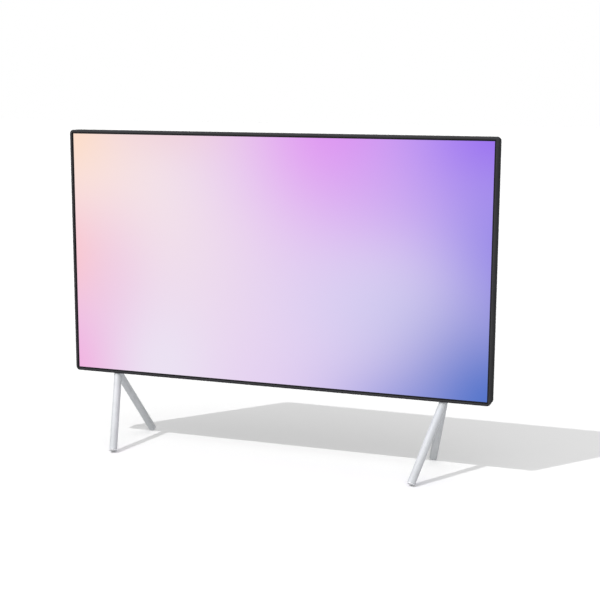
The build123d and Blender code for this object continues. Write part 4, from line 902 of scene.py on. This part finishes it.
# Floor, light and camera
# A plain pale floor, one soft-edged lamp from the upper left of the front, and even fill that comes mostly
# from overhead, so that the floor darkens softly under the set.

def background_seen(owner):
    """Is 1 for the rays that show the background, straight, mirrored or through glass."""
    add, join = owner.node_tree.nodes.new, owner.node_tree.links.new
    ray, either, any_of = add("ShaderNodeLightPath"), add("ShaderNodeMath"), add("ShaderNodeMath")
    either.operation = any_of.operation = "MAXIMUM"
    join(ray.outputs["Is Camera Ray"], either.inputs[0])
    join(ray.outputs["Is Glossy Ray"], either.inputs[1])
    join(either.outputs[0], any_of.inputs[0])
    join(ray.outputs["Is Transmission Ray"], any_of.inputs[1])
    return any_of.outputs[0]


floor_size, floor_roughness = 60, 0.9
floor_by_bounce, floor_by_eye, floor_glow = (0.50, 0.50, 0.50, 1), (0.98, 0.98, 0.98, 1), 0.09
clear_selection()
bpy.ops.mesh.primitive_plane_add(size=floor_size, location=(0, 0, 0))
floor = new_piece("floor")
floor_paint = bpy.data.materials.new("pale_floor")
floor_paint.use_nodes = True
floor_shader = floor_paint.node_tree.nodes["Principled BSDF"]
add, join = floor_paint.node_tree.nodes.new, floor_paint.node_tree.links.new
seen = background_seen(floor_paint)
paint, glow = add("ShaderNodeMix"), add("ShaderNodeMath")
paint.data_type = "RGBA"
paint.inputs["A"].default_value = floor_by_bounce
paint.inputs["B"].default_value = floor_by_eye
glow.operation = "MULTIPLY"
glow.inputs[1].default_value = floor_glow
join(seen, paint.inputs["Factor"])
join(seen, glow.inputs[0])
join(paint.outputs["Result"], floor_shader.inputs["Base Color"])
join(glow.outputs[0], floor_shader.inputs["Emission Strength"])
floor_shader.inputs["Emission Color"].default_value = (1, 1, 1, 1)
floor_shader.inputs["Roughness"].default_value = floor_roughness
floor_shader.inputs["Specular IOR Level"].default_value = 0.0
floor.data.materials.append(floor_paint)

world = bpy.data.worlds.new("studio")
bpy.context.scene.world = world
world.use_nodes = True
add, join = world.node_tree.nodes.new, world.node_tree.links.new
world.node_tree.nodes.clear()
fill, shown = add("ShaderNodeBackground"), add("ShaderNodeBackground")
choose, sky = add("ShaderNodeMixShader"), add("ShaderNodeOutputWorld")
shown.inputs["Color"].default_value = (1, 1, 1, 1)
shown.inputs["Strength"].default_value = 1.0
join(background_seen(world), choose.inputs["Fac"])
join(fill.outputs[0], choose.inputs[1])
join(shown.outputs[0], choose.inputs[2])
join(choose.outputs[0], sky.inputs["Surface"])

even_fill = 0.30
fill_lobes = [  # strength, where it comes from, and how narrow it is
    (1.6, (0, 0, 1), 4),
    (0.42, (0.40, -0.85, 0.34), 8)]
way = add("ShaderNodeTexCoord")
level = None
for strength, towards, narrowing in fill_lobes:
    aligned, narrowed, part = (add("ShaderNodeVectorMath"), add("ShaderNodeMath"), add("ShaderNodeMath"))
    aligned.operation, narrowed.operation, part.operation = "DOT_PRODUCT", "POWER", "MULTIPLY_ADD"
    aligned.inputs[1].default_value = towards
    narrowed.inputs[1].default_value = narrowing
    narrowed.use_clamp = True
    part.inputs[1].default_value = strength
    part.inputs[2].default_value = even_fill
    above = add("ShaderNodeMath")
    above.operation = "MAXIMUM"
    above.inputs[1].default_value = 0
    join(way.outputs["Generated"], aligned.inputs[0])
    join(aligned.outputs["Value"], above.inputs[0])
    join(above.outputs[0], narrowed.inputs[0])
    join(narrowed.outputs[0], part.inputs[0])
    if level:
        join(level.outputs[0], part.inputs[2])
    level = part
join(level.outputs[0], fill.inputs["Strength"])

lamp_strength, lamp_spread, lamp_travel = 1.30, math.radians(0.6), Vector((0.495, 0.610, -1))
lamp = bpy.data.lights.new("key_light", "SUN")
lamp.energy = lamp_strength
lamp.angle = lamp_spread
key_light = bpy.data.objects.new("key_light", lamp)
bpy.context.scene.collection.objects.link(key_light)
key_light.rotation_euler = lamp_travel.to_track_quat("-Z", "Y").to_euler()

focal_length, picture_side = 73.84, 36  # millimetres
camera_place = (1.18717, -3.12674, 1.02651)
lens = bpy.data.cameras.new("camera")
lens.lens = focal_length
lens.sensor_width = picture_side
camera = bpy.data.objects.new("camera", lens)
bpy.context.scene.collection.objects.link(camera)
turn, tilt, roll = 0.339892, -0.171726, 0.0040853
camera.matrix_world = (Matrix.Translation(camera_place)
                       @ Matrix.Rotation(turn, 4, "Z") @ Matrix.Rotation(math.pi / 2 + tilt, 4, "X")
                       @ Matrix.Rotation(roll, 4, "Z"))
bpy.context.scene.camera = camera
bpy.context.scene.view_settings.view_transform = "Standard"

clear_selection()
